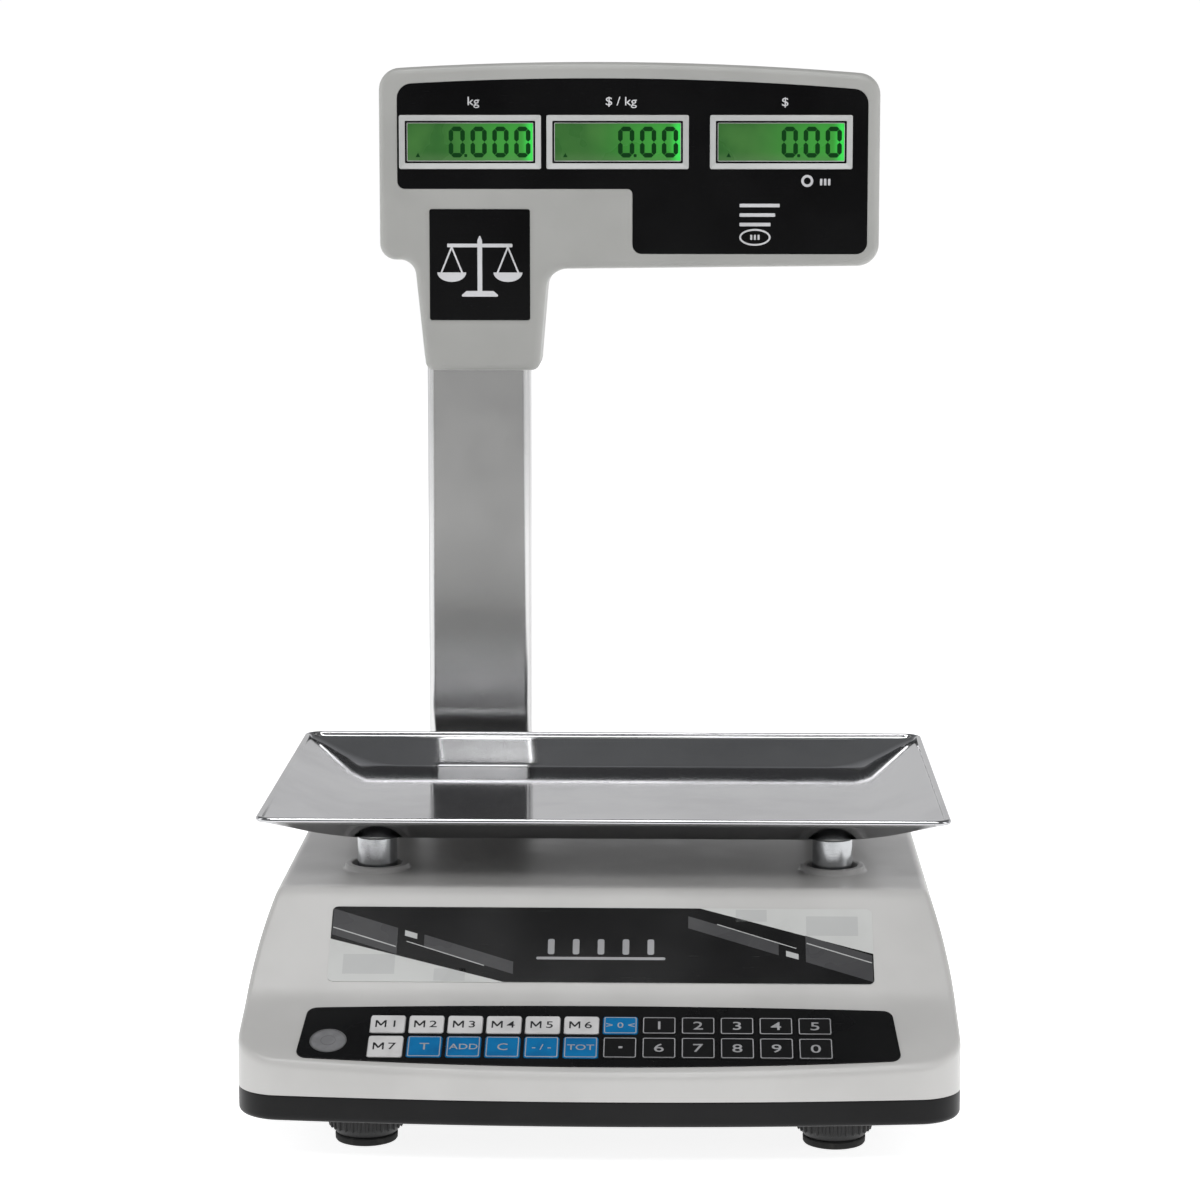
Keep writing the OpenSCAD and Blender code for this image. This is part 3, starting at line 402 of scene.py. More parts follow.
def apply_modifiers(piece):
    """The piece's mesh with its modifiers carried out."""
    bpy.context.view_layer.update()
    solid = bpy.data.meshes.new_from_object(piece.evaluated_get(bpy.context.evaluated_depsgraph_get()))
    piece.modifiers.clear()
    piece.data = solid
    solid.name = piece.name
    return piece


def thicken(piece, thickness):
    """Gives a skin its wall, on the inner side."""
    wall = piece.modifiers.new("wall", "SOLIDIFY")
    wall.thickness = thickness * 0.001
    wall.offset = -1
    return apply_modifiers(piece)


def block(low, high):
    """A box from its low to its high corner."""
    x0, y0, z0 = low
    x1, y1, z1 = high
    points = [(x0, y0, z0), (x1, y0, z0), (x1, y1, z0), (x0, y1, z0),
              (x0, y0, z1), (x1, y0, z1), (x1, y1, z1), (x0, y1, z1)]
    return points, [(3, 2, 1, 0), (4, 5, 6, 7), (0, 1, 5, 4), (1, 2, 6, 5), (2, 3, 7, 6), (3, 0, 4, 7)]


def cut_away(piece, shapes):
    """Cuts closed shapes out of a piece."""
    tool = bpy.data.objects.new("cutter", make_mesh("cutter", *merge(shapes)))
    scene.collection.objects.link(tool)
    cut = piece.modifiers.new("cut", "BOOLEAN")
    cut.operation = "DIFFERENCE"
    cut.solver = "MANIFOLD"
    cut.object = tool
    apply_modifiers(piece)
    bpy.data.objects.remove(tool)
    return piece


def join(piece, *others):
    """Adds the meshes of the others to the piece."""
    shape = bmesh.new()
    shape.from_mesh(piece.data)
    for other in others:
        shape.from_mesh(other.data)
        bpy.data.objects.remove(other)
    shape.to_mesh(piece.data)
    shape.free()
    return piece


def settle(piece, body, node, sharp=35):
    """The last step of every piece: shading, its body, and hiding the CAD node that it stands for."""
    piece.data.shade_smooth()
    piece.data.set_sharp_from_angle(angle=math.radians(sharp))
    even = piece.modifiers.new("even_shading", "WEIGHTED_NORMAL")
    even.keep_sharp = True
    apply_modifiers(piece)
    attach(piece, body)
    if node:
        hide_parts(*([node] if isinstance(node, str) else node))


def add_piece(name, shapes, finish, body, node, sharp=35):
    """A piece that is made of its shapes and settled in one go."""
    settle(make_object(name, shapes, finish), body, node, sharp)


def moulded(name, dark, light, roughness, grain=1.0, gloss=0.5):
    """A moulded plastic: mottled colour, spark-eroded grain, and faint rubbed patches."""
    plastic = Finish(name, Specular_IOR_Level=gloss)
    mottle = plastic.noise(14.0, 3.0)
    specks = plastic.ramp(plastic.noise(900.0, 2.0), 0.62, 0.75)
    color = plastic.mixed(plastic.ramp(mottle, 0.35, 0.65), dark, light)
    color = plastic.mixed(specks * 0.12, color, dark)
    rubbed = plastic.ramp(plastic.noise(38.0, 4.0, rough=0.6), 0.45, 0.7)
    sparks = plastic.noise(1500.0, 3.0, rough=0.65)
    plastic.feed(Base_Color=color, Roughness=rubbed * -0.05 + roughness,
                 Normal=plastic.bump(sparks, 0.03 * grain, 0.35))
    return plastic


cover_plastic = moulded("cover_plastic", tone(187, 186, 184), tone(194, 193, 191), 0.34)
key_cos, key_sin = math.cos(KEY_ANGLE), math.sin(KEY_ANGLE)
sections = [cover_section(s) for s in case_stations()]
cover_rings = [[s[j] for s in sections] for j in range(len(sections[0]))]
edge_loop = cover_rings[-1]
half, low_s, top_s = KEY_WINDOW
window_loop = [(KEY_SHIFT + i * half, FRONT_Y + s * key_cos) for i, s in
               ((-1, low_s), (1, low_s), (1, top_s), (-1, top_s))]
vial_loop = ring(VIAL_X, FRONT_Y + VIAL_S * key_cos, VIAL_R + 0.1, (VIAL_R + 0.1) * key_cos, 40)
post_loops = [ring(x, y, POST_HOLE_R, POST_HOLE_R, 48) for x, y in POST_AT]
flat_loop = [(p[0], p[1]) for p in edge_loop]
rows = [CREASE_Y + d for d in (-5.5, -4.5, -3, -1.5, 0, 1.5, 3, 4.5, 5.5)]
rows += [PLATFORM_Y + d for d in (-4.5, -3.5, -2.4, -1.2, 0, 1.2, 2.4, 3.5, 4.5)]
rows += [-192, -170, -140, -120, -80, -40, 0, 40, 80, 120, 150]
grid = [(x, y) for y in rows for x in np.arange(-156, 157, 12) if inside((x * 1.02, y), flat_loop)]
flat, triangles = fill(edge_loop, [window_loop, vial_loop] + post_loops, grid)
top_points = [(x, y, cover_height(y)) for x, y in flat]
cover_skin = loft(cover_rings)
top_cover = make_object("case_top", [cover_skin, (top_points, triangles)], cover_plastic)
thicken(top_cover, WALL)
PORT_Z, SWITCH_X, INLET_X, CABLE_X = 65.0, 72.0, 116.0, -63.5
ports = [(SWITCH_X, 9.5, 6.5), (INLET_X, 12.0, 7.0), (CABLE_X, 8.0, 3.5)]
port_cuts = [block((x - w, BACK_Y - 6, PORT_Z - h), (x + w, BACK_Y + 3, PORT_Z + h)) for x, w, h in ports]
cut_away(top_cover, port_cuts)
collar = [(12.5, 109.4), (18.2, 109.4), (18.2, 111.9), (17.4, 112.02), (16.5, 112.4), (16.1, 113.0),
          (16, 114.2), (15.75, 114.8), (15.2, 115.0), (13.2, 115.0), (12.7, 114.8), (12.5, 114.3),
          (12.5, 109.4)]
collars = make_object("collars", [lathe(collar, 48, x, y) for x, y in POST_AT], cover_plastic)
join(top_cover, collars)
settle(top_cover, "base", "top_cover", 32)

# ---- Bottom tray ----------------------------------------------------------------------------
# The black lower half of the case, moulded in ABS with a rounded bottom edge, four foot holes,
# wells for the case screws and a rebate for the battery door.
FLOOR_GAP = 21.5
CASE_SCREWS = [(i * 151.0, y) for y in (-159.45, 14.05, 138.55) for i in (-1, 1)]
FEET = {"front_left": (-112.0, -150.95), "front_right": (112.0, -150.95),
        "back_left": (-112.0, 110.05), "back_right": (112.0, 110.05)}
DOOR_AT, DOOR_W, DOOR_L, DOOR_GAP = (98.0, 14.05), 79.4, 109.4, 0.3
TRAY_EDGE_R = 2.6
tray_plastic = moulded("tray_plastic", tone(10, 10, 11), tone(18, 18, 19), 0.4, 1.4, 0.2)
edge_turns = np.linspace(0.2, math.pi / 2, 6)
tray_steps = [(2.6, TRAY_TOP), (0.45, TRAY_TOP), (0.1, TRAY_TOP - 0.25), (0, TRAY_TOP - 0.8)]
tray_steps += [(0, z) for z in (31, 27.5, 24.5)]
tray_steps += [(TRAY_EDGE_R * (1 - math.cos(a)), FLOOR_GAP + TRAY_EDGE_R * (1 - math.sin(a)))
               for a in edge_turns]
tray_steps += [(5.0, FLOOR_GAP)]
tray_steps.reverse()
stations = case_stations()
tray_rings = [[(x + ix * inset, y + iy * inset, z) for x, y, ix, iy in stations] for inset, z in tray_steps]


def rounded(corners, steps=8):
    """A closed outline of (x, y, radius) corners with each corner rounded."""
    points = []
    for i, (x, y, r) in enumerate(corners):
        before, after = corners[i - 1], corners[(i + 1) % len(corners)]
        if r <= 0:
            points.append((x, y))
            continue
        u = np.array([before[0] - x, before[1] - y], float)
        v = np.array([after[0] - x, after[1] - y], float)
        u /= np.linalg.norm(u)
        v /= np.linalg.norm(v)
        half_turn = math.acos(max(-1.0, min(1.0, float(u @ v)))) / 2
        here = np.array([x, y], float)
        start, end = here + u * r / math.tan(half_turn), here + v * r / math.tan(half_turn)
        centre = here + (u + v) / np.linalg.norm(u + v) * r / math.sin(half_turn)
        a0 = math.atan2(*(start - centre)[::-1])
        turn = math.atan2(*(end - centre)[::-1]) - a0
        turn = (turn + math.pi) % (2 * math.pi) - math.pi
        points += [(centre[0] + r * math.cos(a0 + turn * k / steps),
                    centre[1] + r * math.sin(a0 + turn * k / steps)) for k in range(steps + 1)]
    return points


def rounded_box(w, h, r, cx=0.0, cy=0.0, steps=8):
    """A rectangle about a centre with round corners, anticlockwise."""
    corners = [(cx - w / 2, cy - h / 2, r), (cx + w / 2, cy - h / 2, r),
               (cx + w / 2, cy + h / 2, r), (cx - w / 2, cy + h / 2, r)]
    return rounded(corners, steps)


def flat_face(outline, height, up=True, holes=(), extra=()):
    """A flat face across an outline at a height, facing up or down."""
    points, faces = fill(outline, list(holes), extra)
    return [(x, y, height) for x, y in points], faces if up else [tuple(reversed(f)) for f in faces]


door_loop = rounded_box(DOOR_W + 2 * DOOR_GAP, DOOR_L + 2 * DOOR_GAP, 3, *DOOR_AT)
screw_loops = [ring(x, y, 4.5, 4.5, 24) for x, y in CASE_SCREWS]
stud_loops = [ring(x, y, 5.2, 5.2, 24) for x, y in FEET.values()]
bottom_loop = [p[:2] for p in tray_rings[0]]
bottom_grid = [(x, y) for y in range(-180, 161, 34) for x in range(-150, 151, 30)]
bottom_grid = [p for p in bottom_grid if inside(p, bottom_loop)]
bottom = flat_face(bottom_loop, FLOOR_GAP, False, [door_loop] + screw_loops + stud_loops, bottom_grid)
tray = make_object("case_tray", [loft(tray_rings), bottom], tray_plastic)
thicken(tray, WALL)
well = [(0, 26.5), (5.6, 26.5), (5.6, 22.0), (4.5, 22.0), (4.5, 24.0), (0, 24.0), (0, 26.5)]
join(tray, make_object("wells", [lathe(well, 24, x, y) for x, y in CASE_SCREWS], tray_plastic))
settle(tray, "base", "bottom_tray")


# ---- Battery door ---------------------------------------------------------------------------
# A flat snap-in lid in the tray, of the tray's plastic, with finger ridges at its front end.
def inset_loop(loop, by):
    """An anticlockwise loop drawn in, or a clockwise one drawn out, by a distance."""
    moved = []
    count = len(loop)
    for i in range(count):
        before, here, after = (np.array(loop[k % count][:2], float) for k in (i - 1, i, i + 1))
        u, v = here - before, after - here
        u /= np.linalg.norm(u)
        v /= np.linalg.norm(v)
        n1, n2 = np.array([-u[1], u[0]]), np.array([-v[1], v[0]])
        moved.append(tuple(here + by * (n1 + n2) / (1 + float(n1 @ n2))))
    return moved


def put(shape, place):
    """A shape with each of its points put in place."""
    points, faces = shape
    return [place(*p) for p in points], faces


def plate(outline, holes, low, high, edge=0.0, place=lambda u, v, t: (u, v, t), steps=2):
    """A flat closed plate between two heights with a rounded upper edge, put in place."""
    loops = [list(outline)] + [list(reversed(h)) for h in holes]
    lip = [(edge * (1 - math.cos(a)), high - edge + edge * math.sin(a))
           for a in np.linspace(0, math.pi / 2, steps + 1)] if edge else [(0.0, high)]
    shapes, tops = [], []
    for loop in loops:
        rings = [[(u, v, low) for u, v in loop]]
        rings += [[(u, v, t) for u, v in (inset_loop(loop, by) if by else loop)] for by, t in lip]
        tops.append([p[:2] for p in rings[-1]])
        shapes.append(loft(rings))
    shapes.append(flat_face(tops[0], high, True, tops[1:]))
    shapes.append(flat_face(loops[0], low, False, loops[1:]))
    return put(merge(shapes), place)


def under(u, v, t):
    """The tray's underside: u to the right, v to the front, t down."""
    return (u, -v, FLOOR_GAP - t)


door_outline = rounded_box(DOOR_W, DOOR_L, 3, DOOR_AT[0], -DOOR_AT[1])
ridge_v = -DOOR_AT[1] + DOOR_L / 2 - 10
ridges = [rounded_box(1.8, 12, 0.8, DOOR_AT[0] + 4 * i, ridge_v, 3) for i in range(-2, 3)]
door_shapes = [plate(door_outline, [], -1.6, 0, 0.3, under)]
door_shapes += [plate(ridge, [], -0.2, 0.5, 0.25, under) for ridge in ridges]
add_piece("battery_lid", door_shapes, tray_plastic, "base", "battery_door")

# ---- Feet -----------------------------------------------------------------------------------
# Four levelling feet: a moulded black knob with grip ribs on an M8 stud, and under it a rubber
# pad with a moulded tread that stays still while the knob turns.
PAD_H = 4.0
RIB_Z = 11.5


def new_tree(name, *inputs):
    """An empty tree of geometry nodes: its wiring, and the signal of each of its inputs."""
    tree = bpy.data.node_groups.new(name, "GeometryNodeTree")
    for label, kind, start in (("Geometry", "Geometry", None), *inputs, ("Material", "Material", None)):
        socket = tree.interface.new_socket(label, in_out="INPUT", socket_type="NodeSocket" + kind)
        if start is not None:
            socket.default_value = start
    tree.interface.new_socket("Geometry", in_out="OUTPUT", socket_type="NodeSocketGeometry")
    wiring = Wiring(tree)
    given = tree.nodes.new("NodeGroupInput")
    return wiring, {out.name: Signal(wiring, out) for out in given.outputs if out.name}


def end_tree(wiring, grown, material):
    """Makes what has grown real, gives it its material and closes the tree."""
    real = wiring.geometry("RealizeInstances", Geometry=grown)
    paint = wiring.geometry("SetMaterial", Geometry=real, Material=material)
    wiring.tree.links.new(paint.socket, wiring.tree.nodes.new("NodeGroupOutput").inputs[0])
    return wiring.tree


def rib_ring_tree():
    """Upright ribs round a ring, for a knob's grip."""
    wiring, value = new_tree("grip_ribs", ("Ribs", "Int", 30), ("Ring Radius", "Float", 0.0174),
                             ("Rib Radius", "Float", 0.001), ("Rib Height", "Float", 0.008))
    rib_size = [value["Rib Radius"], value["Rib Radius"], value["Rib Height"]]
    circle = wiring.geometry("MeshCircle", Vertices=value["Ribs"], Radius=value["Ring Radius"])
    rib = wiring.geometry("MeshUVSphere", Segments=8, Rings=6, Radius=1.0)
    stretch = wiring.node("ShaderNodeCombineXYZ", {}, rib_size)
    stand = wiring.geometry("InstanceOnPoints", Points=circle, Instance=rib, Scale=stretch)
    both = wiring.gather("GeometryNodeJoinGeometry", {}, [value["Geometry"], stand], 0)
    return end_tree(wiring, both, value["Material"])


def grow(piece, tree, **values):
    """Runs a tree of geometry nodes on a piece with its inputs set by name."""
    modifier = piece.modifiers.new("grow", "NODES")
    modifier.node_group = tree
    sockets = {s.name: s.identifier for s in tree.interface.items_tree if s.in_out == "INPUT"}
    for key, value in values.items():
        modifier[sockets[key.replace("_", " ")]] = value
    return apply_modifiers(piece)


def mottled(name, first, second, patches, wear, grain=None, **flat):
    """Two colours mixed by a noise, which also roughens the surface, over a fine grain."""
    finish = Finish(name, **flat)
    scale, detail, rough, low, high = patches
    mask = finish.ramp(finish.noise(scale, detail, rough=rough), low, high)
    finish.feed(Base_Color=finish.mixed(mask, first, second), Roughness=mask * wear[1] + wear[0])
    if grain:
        finish.feed(Normal=finish.bump(finish.noise(*grain[:2]), *grain[2:]))
    return finish


knob_plastic = moulded("knob_plastic", tone(20, 20, 21), tone(30, 30, 31), 0.5, 1.6)
pad_rubber = mottled("pad_rubber", tone(38, 38, 38), tone(62, 61, 59), (160.0, 4.0, 0.5, 0.5, 0.75),
                     (0.75, 0.15), (700.0, 3.0, 0.08, 0.6), Specular_IOR_Level=0.3)
grip_tree = rib_ring_tree()
knob_profile = [(0, 4.1), (14.2, 4.1), (14.7, 4.5), (16.8, 7.2), (17.5, 9), (18.0, 16), (18.3, 16.6),
                (18.45, 17.2), (18.5, 18.6), (18.2, 19.8), (17.4, 20.4), (6.5, 20.5), (4.6, 20.5),
                (4.0, 21.2), (4.0, 38), (3.4, 38.6), (0, 38.6)]
pad_profile = [(0, 0.6), (3.0, 0.6), (3.4, 0), (5.4, 0), (5.8, 0.6), (7.2, 0.6), (7.6, 0), (9.6, 0),
               (10.0, 0.6), (11.2, 0.6), (11.6, 0), (13.6, 0), (14.4, 0.3), (14.9, 1.0), (15.0, 3.4),
               (14.6, PAD_H), (0, PAD_H)]
knob_shape = lathe([(r, z - RIB_Z) for r, z in knob_profile], 64)
for foot, (x, y) in FEET.items():
    knob = make_object("knob_" + foot, [knob_shape], knob_plastic)
    grow(knob, grip_tree, Ribs=30, Ring_Radius=0.0174, Rib_Radius=0.0011, Rib_Height=0.0046,
         Material=knob_plastic.material)
    knob.data.transform(Matrix.Translation((x * 0.001, y * 0.001, RIB_Z * 0.001)))
    settle(knob, "knob_" + foot, "foot_knob_" + foot)
    add_piece("pad_" + foot, [lathe(pad_profile, 64, x, y)], pad_rubber, "pad_" + foot, "foot_pad_" + foot)

# ---- Key panel ------------------------------------------------------------------------------
# A black polycarbonate film, printed on its back and stuck to the key slope, with a window for
# each key and one for the level.
PANEL_HALF = 141.4
KEY_LEN = math.hypot(CREASE_Y - FRONT_Y, CREASE_Z - LIP_Z)
KEY_W, KEY_PITCH, KEY_GAP = 16.2, 18.3, 0.25
KEY_ROWS = ((36.0, 13.0), (19.2, 15.6))
FILM = 0.6


def on_key_slope(u, v, t):
    """The key slope: u to the right, v up the slope from the lip, t out of it."""
    return (u, FRONT_Y + v * key_cos - t * key_sin, LIP_Z + v * key_sin + t * key_cos)


def bowed(x, s, bow):
    """A height along the slope that changes toward the panel's ends."""
    return s + bow * (x / PANEL_HALF) ** 2


def printed_film(name, dark, light, roughness, coat):
    """A printed plastic film: even ink under a fine matt texture, with a few hairline scuffs."""
    sheet = Finish(name, Coat_Roughness=0.1, Specular_IOR_Level=0.15)
    sheet.shader.inputs["Coat Weight"].default_value = coat
    cloud = sheet.ramp(sheet.noise(22.0, 3.0), 0.3, 0.7)
    hair = sheet.ramp(sheet.noise(60.0, 4.0, stretch=(1, 14, 14), rough=0.7), 0.66, 0.72)
    color = sheet.mixed(cloud, dark, light)
    sheet.feed(Base_Color=color, Roughness=hair * 0.12 + cloud * 0.05 + roughness,
               Normal=sheet.bump(sheet.noise(1200.0, 2.0), 0.02, 0.4))
    return sheet


panel_film = printed_film("panel_film", tone(8, 8, 9), tone(14, 14, 15), 0.26, 0.15)
LOW_S, LOW_BOW, HIGH_S, HIGH_BOW = 5.6, 5.9, KEY_LEN - 4.9, -2.6
across = [i / 10 * PANEL_HALF for i in range(-9, 10)]
low_edge = [(x, bowed(x, LOW_S, LOW_BOW), 0) for x in across]
high_edge = [(x, bowed(x, HIGH_S, HIGH_BOW), 0) for x in reversed(across)]
ends = [(x, bowed(PANEL_HALF, s, bow), 5) for x, s, bow in
        ((-PANEL_HALF, LOW_S, LOW_BOW), (PANEL_HALF, LOW_S, LOW_BOW),
         (PANEL_HALF - 3, HIGH_S, HIGH_BOW), (3 - PANEL_HALF, HIGH_S, HIGH_BOW))]
panel_outline = rounded([ends[0]] + low_edge + [ends[1], ends[2]] + high_edge + [ends[3]], 8)
key_spots = [(KEY_SHIFT + (col - 5.5) * KEY_PITCH, s, h) for s, h in KEY_ROWS for col in range(12)]
key_holes = [rounded_box(KEY_W + 2 * KEY_GAP, h + 2 * KEY_GAP, 1.3, x, s, 3) for x, s, h in key_spots]
vial_hole = ring(VIAL_X, VIAL_S, VIAL_R + 0.1, VIAL_R + 0.1, 40)
panel_shape = plate(panel_outline, key_holes + [vial_hole], 0, FILM, 0.12, on_key_slope)
add_piece("key_panel", [panel_shape], panel_film, "base", "keypad_overlay")

# ---- Keys -----------------------------------------------------------------------------------
# Twenty-four low caps over a membrane board. The memory keys are white, the function keys blue
# and the figure keys black, the last two with a pale printed frame.
KEYS = ["m1", "m2", "m3", "m4", "m5", "m6", "zero", "1", "2", "3", "4", "5",
        "m7", "tare", "add", "clear", "change", "total", "point", "6", "7", "8", "9", "0"]
LEGENDS = {"zero": "> 0 <", "tare": "T", "add": "ADD", "clear": "C", "change": "- / -", "total": "TOT",
           "point": "."}
CAPITAL_M = [(0, 0), (0.15, 0), (0.15, 0.68), (0.44, 0.22), (0.56, 0.22), (0.85, 0.68), (0.85, 0), (1, 0),
             (1, 1), (0.83, 1), (0.5, 0.46), (0.17, 1), (0, 1)]
KEY_TOP = 1.0
INK, BOLD = 0.05, 0.03


def moved(place, u0, v0, t0=0.0):
    """The same placing with its origin moved."""
    return lambda u, v, t: place(u0 + u, v0 + v, t0 + t)


def printed(loop, place, holes=()):
    """An outline in a thin layer of ink."""
    return plate(loop, holes, 0, INK, 0, place)


def letters(text, size, place, wide=1.15):
    """Lettering about a centre, in a thin layer of ink."""
    curve = bpy.data.curves.new("letters", "FONT")
    curve.body = text
    curve.size = size
    curve.align_x = "CENTER"
    curve.align_y = "CENTER"
    curve.extrude = INK / 2
    curve.offset = BOLD
    curve.resolution_u = 4
    holder = bpy.data.objects.new("letters", curve)
    scene.collection.objects.link(holder)
    bpy.context.view_layer.update()
    mesh = bpy.data.meshes.new_from_object(holder.evaluated_get(bpy.context.evaluated_depsgraph_get()))
    across = [v.co.x for v in mesh.vertices]
    up = [v.co.y for v in mesh.vertices]
    x, y = (min(across) + max(across)) / 2, (min(up) + max(up)) / 2
    points = [place((v.co.x - x) * wide, v.co.y - y, v.co.z + INK / 2) for v in mesh.vertices]
    faces = [tuple(p.vertices) for p in mesh.polygons]
    bpy.data.objects.remove(holder)
    bpy.data.meshes.remove(mesh)
    bpy.data.curves.remove(curve)
    return points, faces


def key_plastic(name, dark, light):
    """A key cap of glossy film over ABS, a little greyer where fingers land."""
    return mottled(name, light, dark, (75.0, 3.0, 0.5, 0.4, 0.75), (0.34, 0.12), (1300.0, 2.0, 0.015, 0.4),
                   Coat_Roughness=0.18, Specular_IOR_Level=0.2, Coat_Weight=0.04)


key_finishes = {"key_white": key_plastic("key_white", tone(194, 193, 193), tone(208, 207, 207)),
                "key_blue": key_plastic("key_blue", tone(0, 96, 150), tone(6, 112, 168)),
                "key_black": key_plastic("key_black", tone(9, 9, 10), tone(17, 17, 18))}
ink_pale = printed_film("ink_pale", tone(150, 150, 152), tone(168, 168, 170), 0.5, 0.0)
ink_dark = printed_film("ink_dark", tone(38, 38, 40), tone(52, 52, 54), 0.5, 0.0)
stem = lathe([(0, -4.15), (2, -4.15), (2, -2.0), (0, -2.0)], 16)
for name, (x, s, h) in zip(KEYS, key_spots):
    body = "key_" + name
    text = LEGENDS.get(name, name[-1])
    memory = name.startswith("m")
    figure = name.isdigit() or name == "point"
    slot = "key_white" if memory else "key_black" if figure else "key_blue"
    on_key = moved(on_key_slope, x, s, KEY_TOP)
    skirt = rounded_box(KEY_W + 1, h + 1, 0.4, steps=2)
    cap_shapes = [plate(rounded_box(KEY_W, h, 1.2, steps=5), [], -1.6, 0, 0.35, on_key, 4),
                  plate(skirt, [], -KEY_TOP - 1.1, -KEY_TOP - 0.12, 0.1, on_key), put(stem, on_key)]
    add_piece("cap_" + name, cap_shapes, key_finishes[slot], body, body)
    if memory:
        prints = [printed([(5.2 * u - 5.8, 5.2 * v - 2.6) for u, v in CAPITAL_M], on_key),
                  letters(text, 7.0, moved(on_key, 3.2, 0))]
    elif text == ".":
        prints = [printed(rounded_box(1.9, 1.5, 0.3, 0.3, 0.2, 3), on_key)]
    elif figure:
        prints = [letters(text, 8.448, on_key, 1.25)]
    else:
        prints = [letters(text, 7.02 if len(text) == 1 else 5.72, on_key, 1.1)]
    if not memory:
        within = rounded_box(KEY_W - 1.9, h - 1.9, 0.6, steps=4)
        prints.append(printed(rounded_box(KEY_W - 1.0, h - 1.0, 0.9, steps=4), on_key, [within]))
    add_piece("legend_" + name, prints, ink_dark if memory else ink_pale, body, None, 20)

# ---- Level ----------------------------------------------------------------------------------
# A round spirit level set in the key slope: a grey cup with a fine rim, a domed clear face over
# grey liquid and a centring ring.
level_grey = mottled("level_grey", tone(112, 112, 114), tone(124, 124, 126), (260.0, 3.0, 0.5, 0.35, 0.7),
                     (0.4, 0.15), Coat_Weight=0.2, Coat_Roughness=0.2, Specular_IOR_Level=0.4)
level_rim = key_plastic("level_rim", tone(92, 92, 93), tone(104, 104, 105))
cup = [(0, -7), (8.65, -7), (8.65, 0.75), (8.45, 0.9), (8.1, 0.9), (7.9, 0.7), (7.9, 0.2), (0, 0.2)]
face = [(0, 0.15), (7.88, 0.15), (7.88, 0.62), (6.5, 0.72), (4.0, 0.78), (0, 0.8)]
mark = [(3.3, 0.7), (3.55, 0.7), (3.55, 0.82), (3.3, 0.82), (3.3, 0.7)]
for name, profile, count, finish, node in (("level_cup", cup, 56, level_rim, "level_vial"),
                                           ("level_face", face, 56, level_grey, None),
                                           ("level_ring", mark, 40, level_rim, None)):
    turned_part = put(lathe(profile, count), moved(on_key_slope, VIAL_X, VIAL_S))
    add_piece(name, [turned_part], finish, "base", node)

# ---- Front label ----------------------------------------------------------------------------
# A pale film on the label slope, screen-printed with a slanting black band, grey bars at both
# ends and faint grey squares; the middle carries a plain row of bars in place of a name.
LABEL_W, LABEL_H, LABEL_S, LABEL_T, LAYER = 262.0, 44.3, 32.17, 0.36, 0.025
label_cos, label_sin = math.cos(LABEL_ANGLE), math.sin(LABEL_ANGLE)


def on_label(u, v, t):
    """The label slope: u to the right, v up the slope from the crease, t out of it."""
    return (u, CREASE_Y + v * label_cos - t * label_sin, CREASE_Z + v * label_sin + t * label_cos)


label_film = printed_film("label_film", tone(194, 195, 193), tone(203, 204, 202), 0.26, 0.1)
label_black = printed_film("label_black", tone(8, 8, 9), tone(14, 14, 15), 0.18, 0.05)
label_grey = printed_film("label_grey", tone(58, 58, 60), tone(74, 74, 75), 0.26, 0.1)
label_pale = printed_film("label_pale", tone(182, 183, 182), tone(189, 190, 189), 0.26, 0.1)
label_shape = plate(rounded_box(LABEL_W, LABEL_H, 3, 0, LABEL_S), [], 0, LABEL_T, 0.08, on_label)
add_piece("label_film", [label_shape], label_film, "base", "film_labels")


def label_layer(name, loops, finish, low):
    """A printed layer on the label at a height over its slope."""
    shapes = [plate(loop, [], low, low + LAYER, 0, on_label) for loop in loops]
    add_piece(name, shapes, finish, "base", None)


band = [(-130.9, 54.2, 2.6), (-130.9, 35.0, 0.5), (-46.2, 10.1, 0.8), (130.9, 10.1, 2.6), (130.9, 27.8, 0.5),
        (47.7, 54.2, 0.8)]
label_layer("label_band", [rounded(band, 5)], label_black, LABEL_T)


def slanted(x0, s0, x1, s1, height):
    """A slanted bar with upright ends, from its lower left to its lower right corner."""
    return [(x0, s0), (x1, s1), (x1, s1 + height), (x0, s0 + height)]


def turned(loop):
    """The same loop turned half round the label's middle."""
    return [(-x, 2 * LABEL_S - s) for x, s in loop]


grey_bars = [slanted(-130.4, 37.5, -98.5, 26.0, 15.5), slanted(-85.5, 30.5, -42.0, 14.8, 7.2)]
light_bars = [slanted(-130.0, 41.5, -99.0, 30.2, 0.6), slanted(-94.0, 33.4, -56.0, 19.4, 0.5),
              slanted(-95.0, 37.0, -89.0, 35.0, 3.2)]
pale_squares = [slanted(-124.0, 14.5, -99.0, 14.5, 11.5), slanted(-80.0, 10.8, -65.0, 10.8, 7.0)]
for name, loops, finish, low in (("label_bars", grey_bars, label_grey, LABEL_T + LAYER),
                                 ("label_lines", light_bars, label_pale, LABEL_T + 2 * LAYER),
                                 ("label_squares", pale_squares, label_pale, LABEL_T)):
    label_layer(name, [side for loop in loops for side in (loop, turned(loop))], finish, low)
name_bars = [rounded_box(3.2, 9.0, 1.0, x, 31.0, 4) for x in (-24, -12, 0, 12, 24)]
level_bar = rounded_box(62, 1.6, 0.7, 0, 24.2, 4)
label_layer("label_scale_mark", name_bars + [level_bar], ink_pale, LABEL_T + 2 * LAYER)

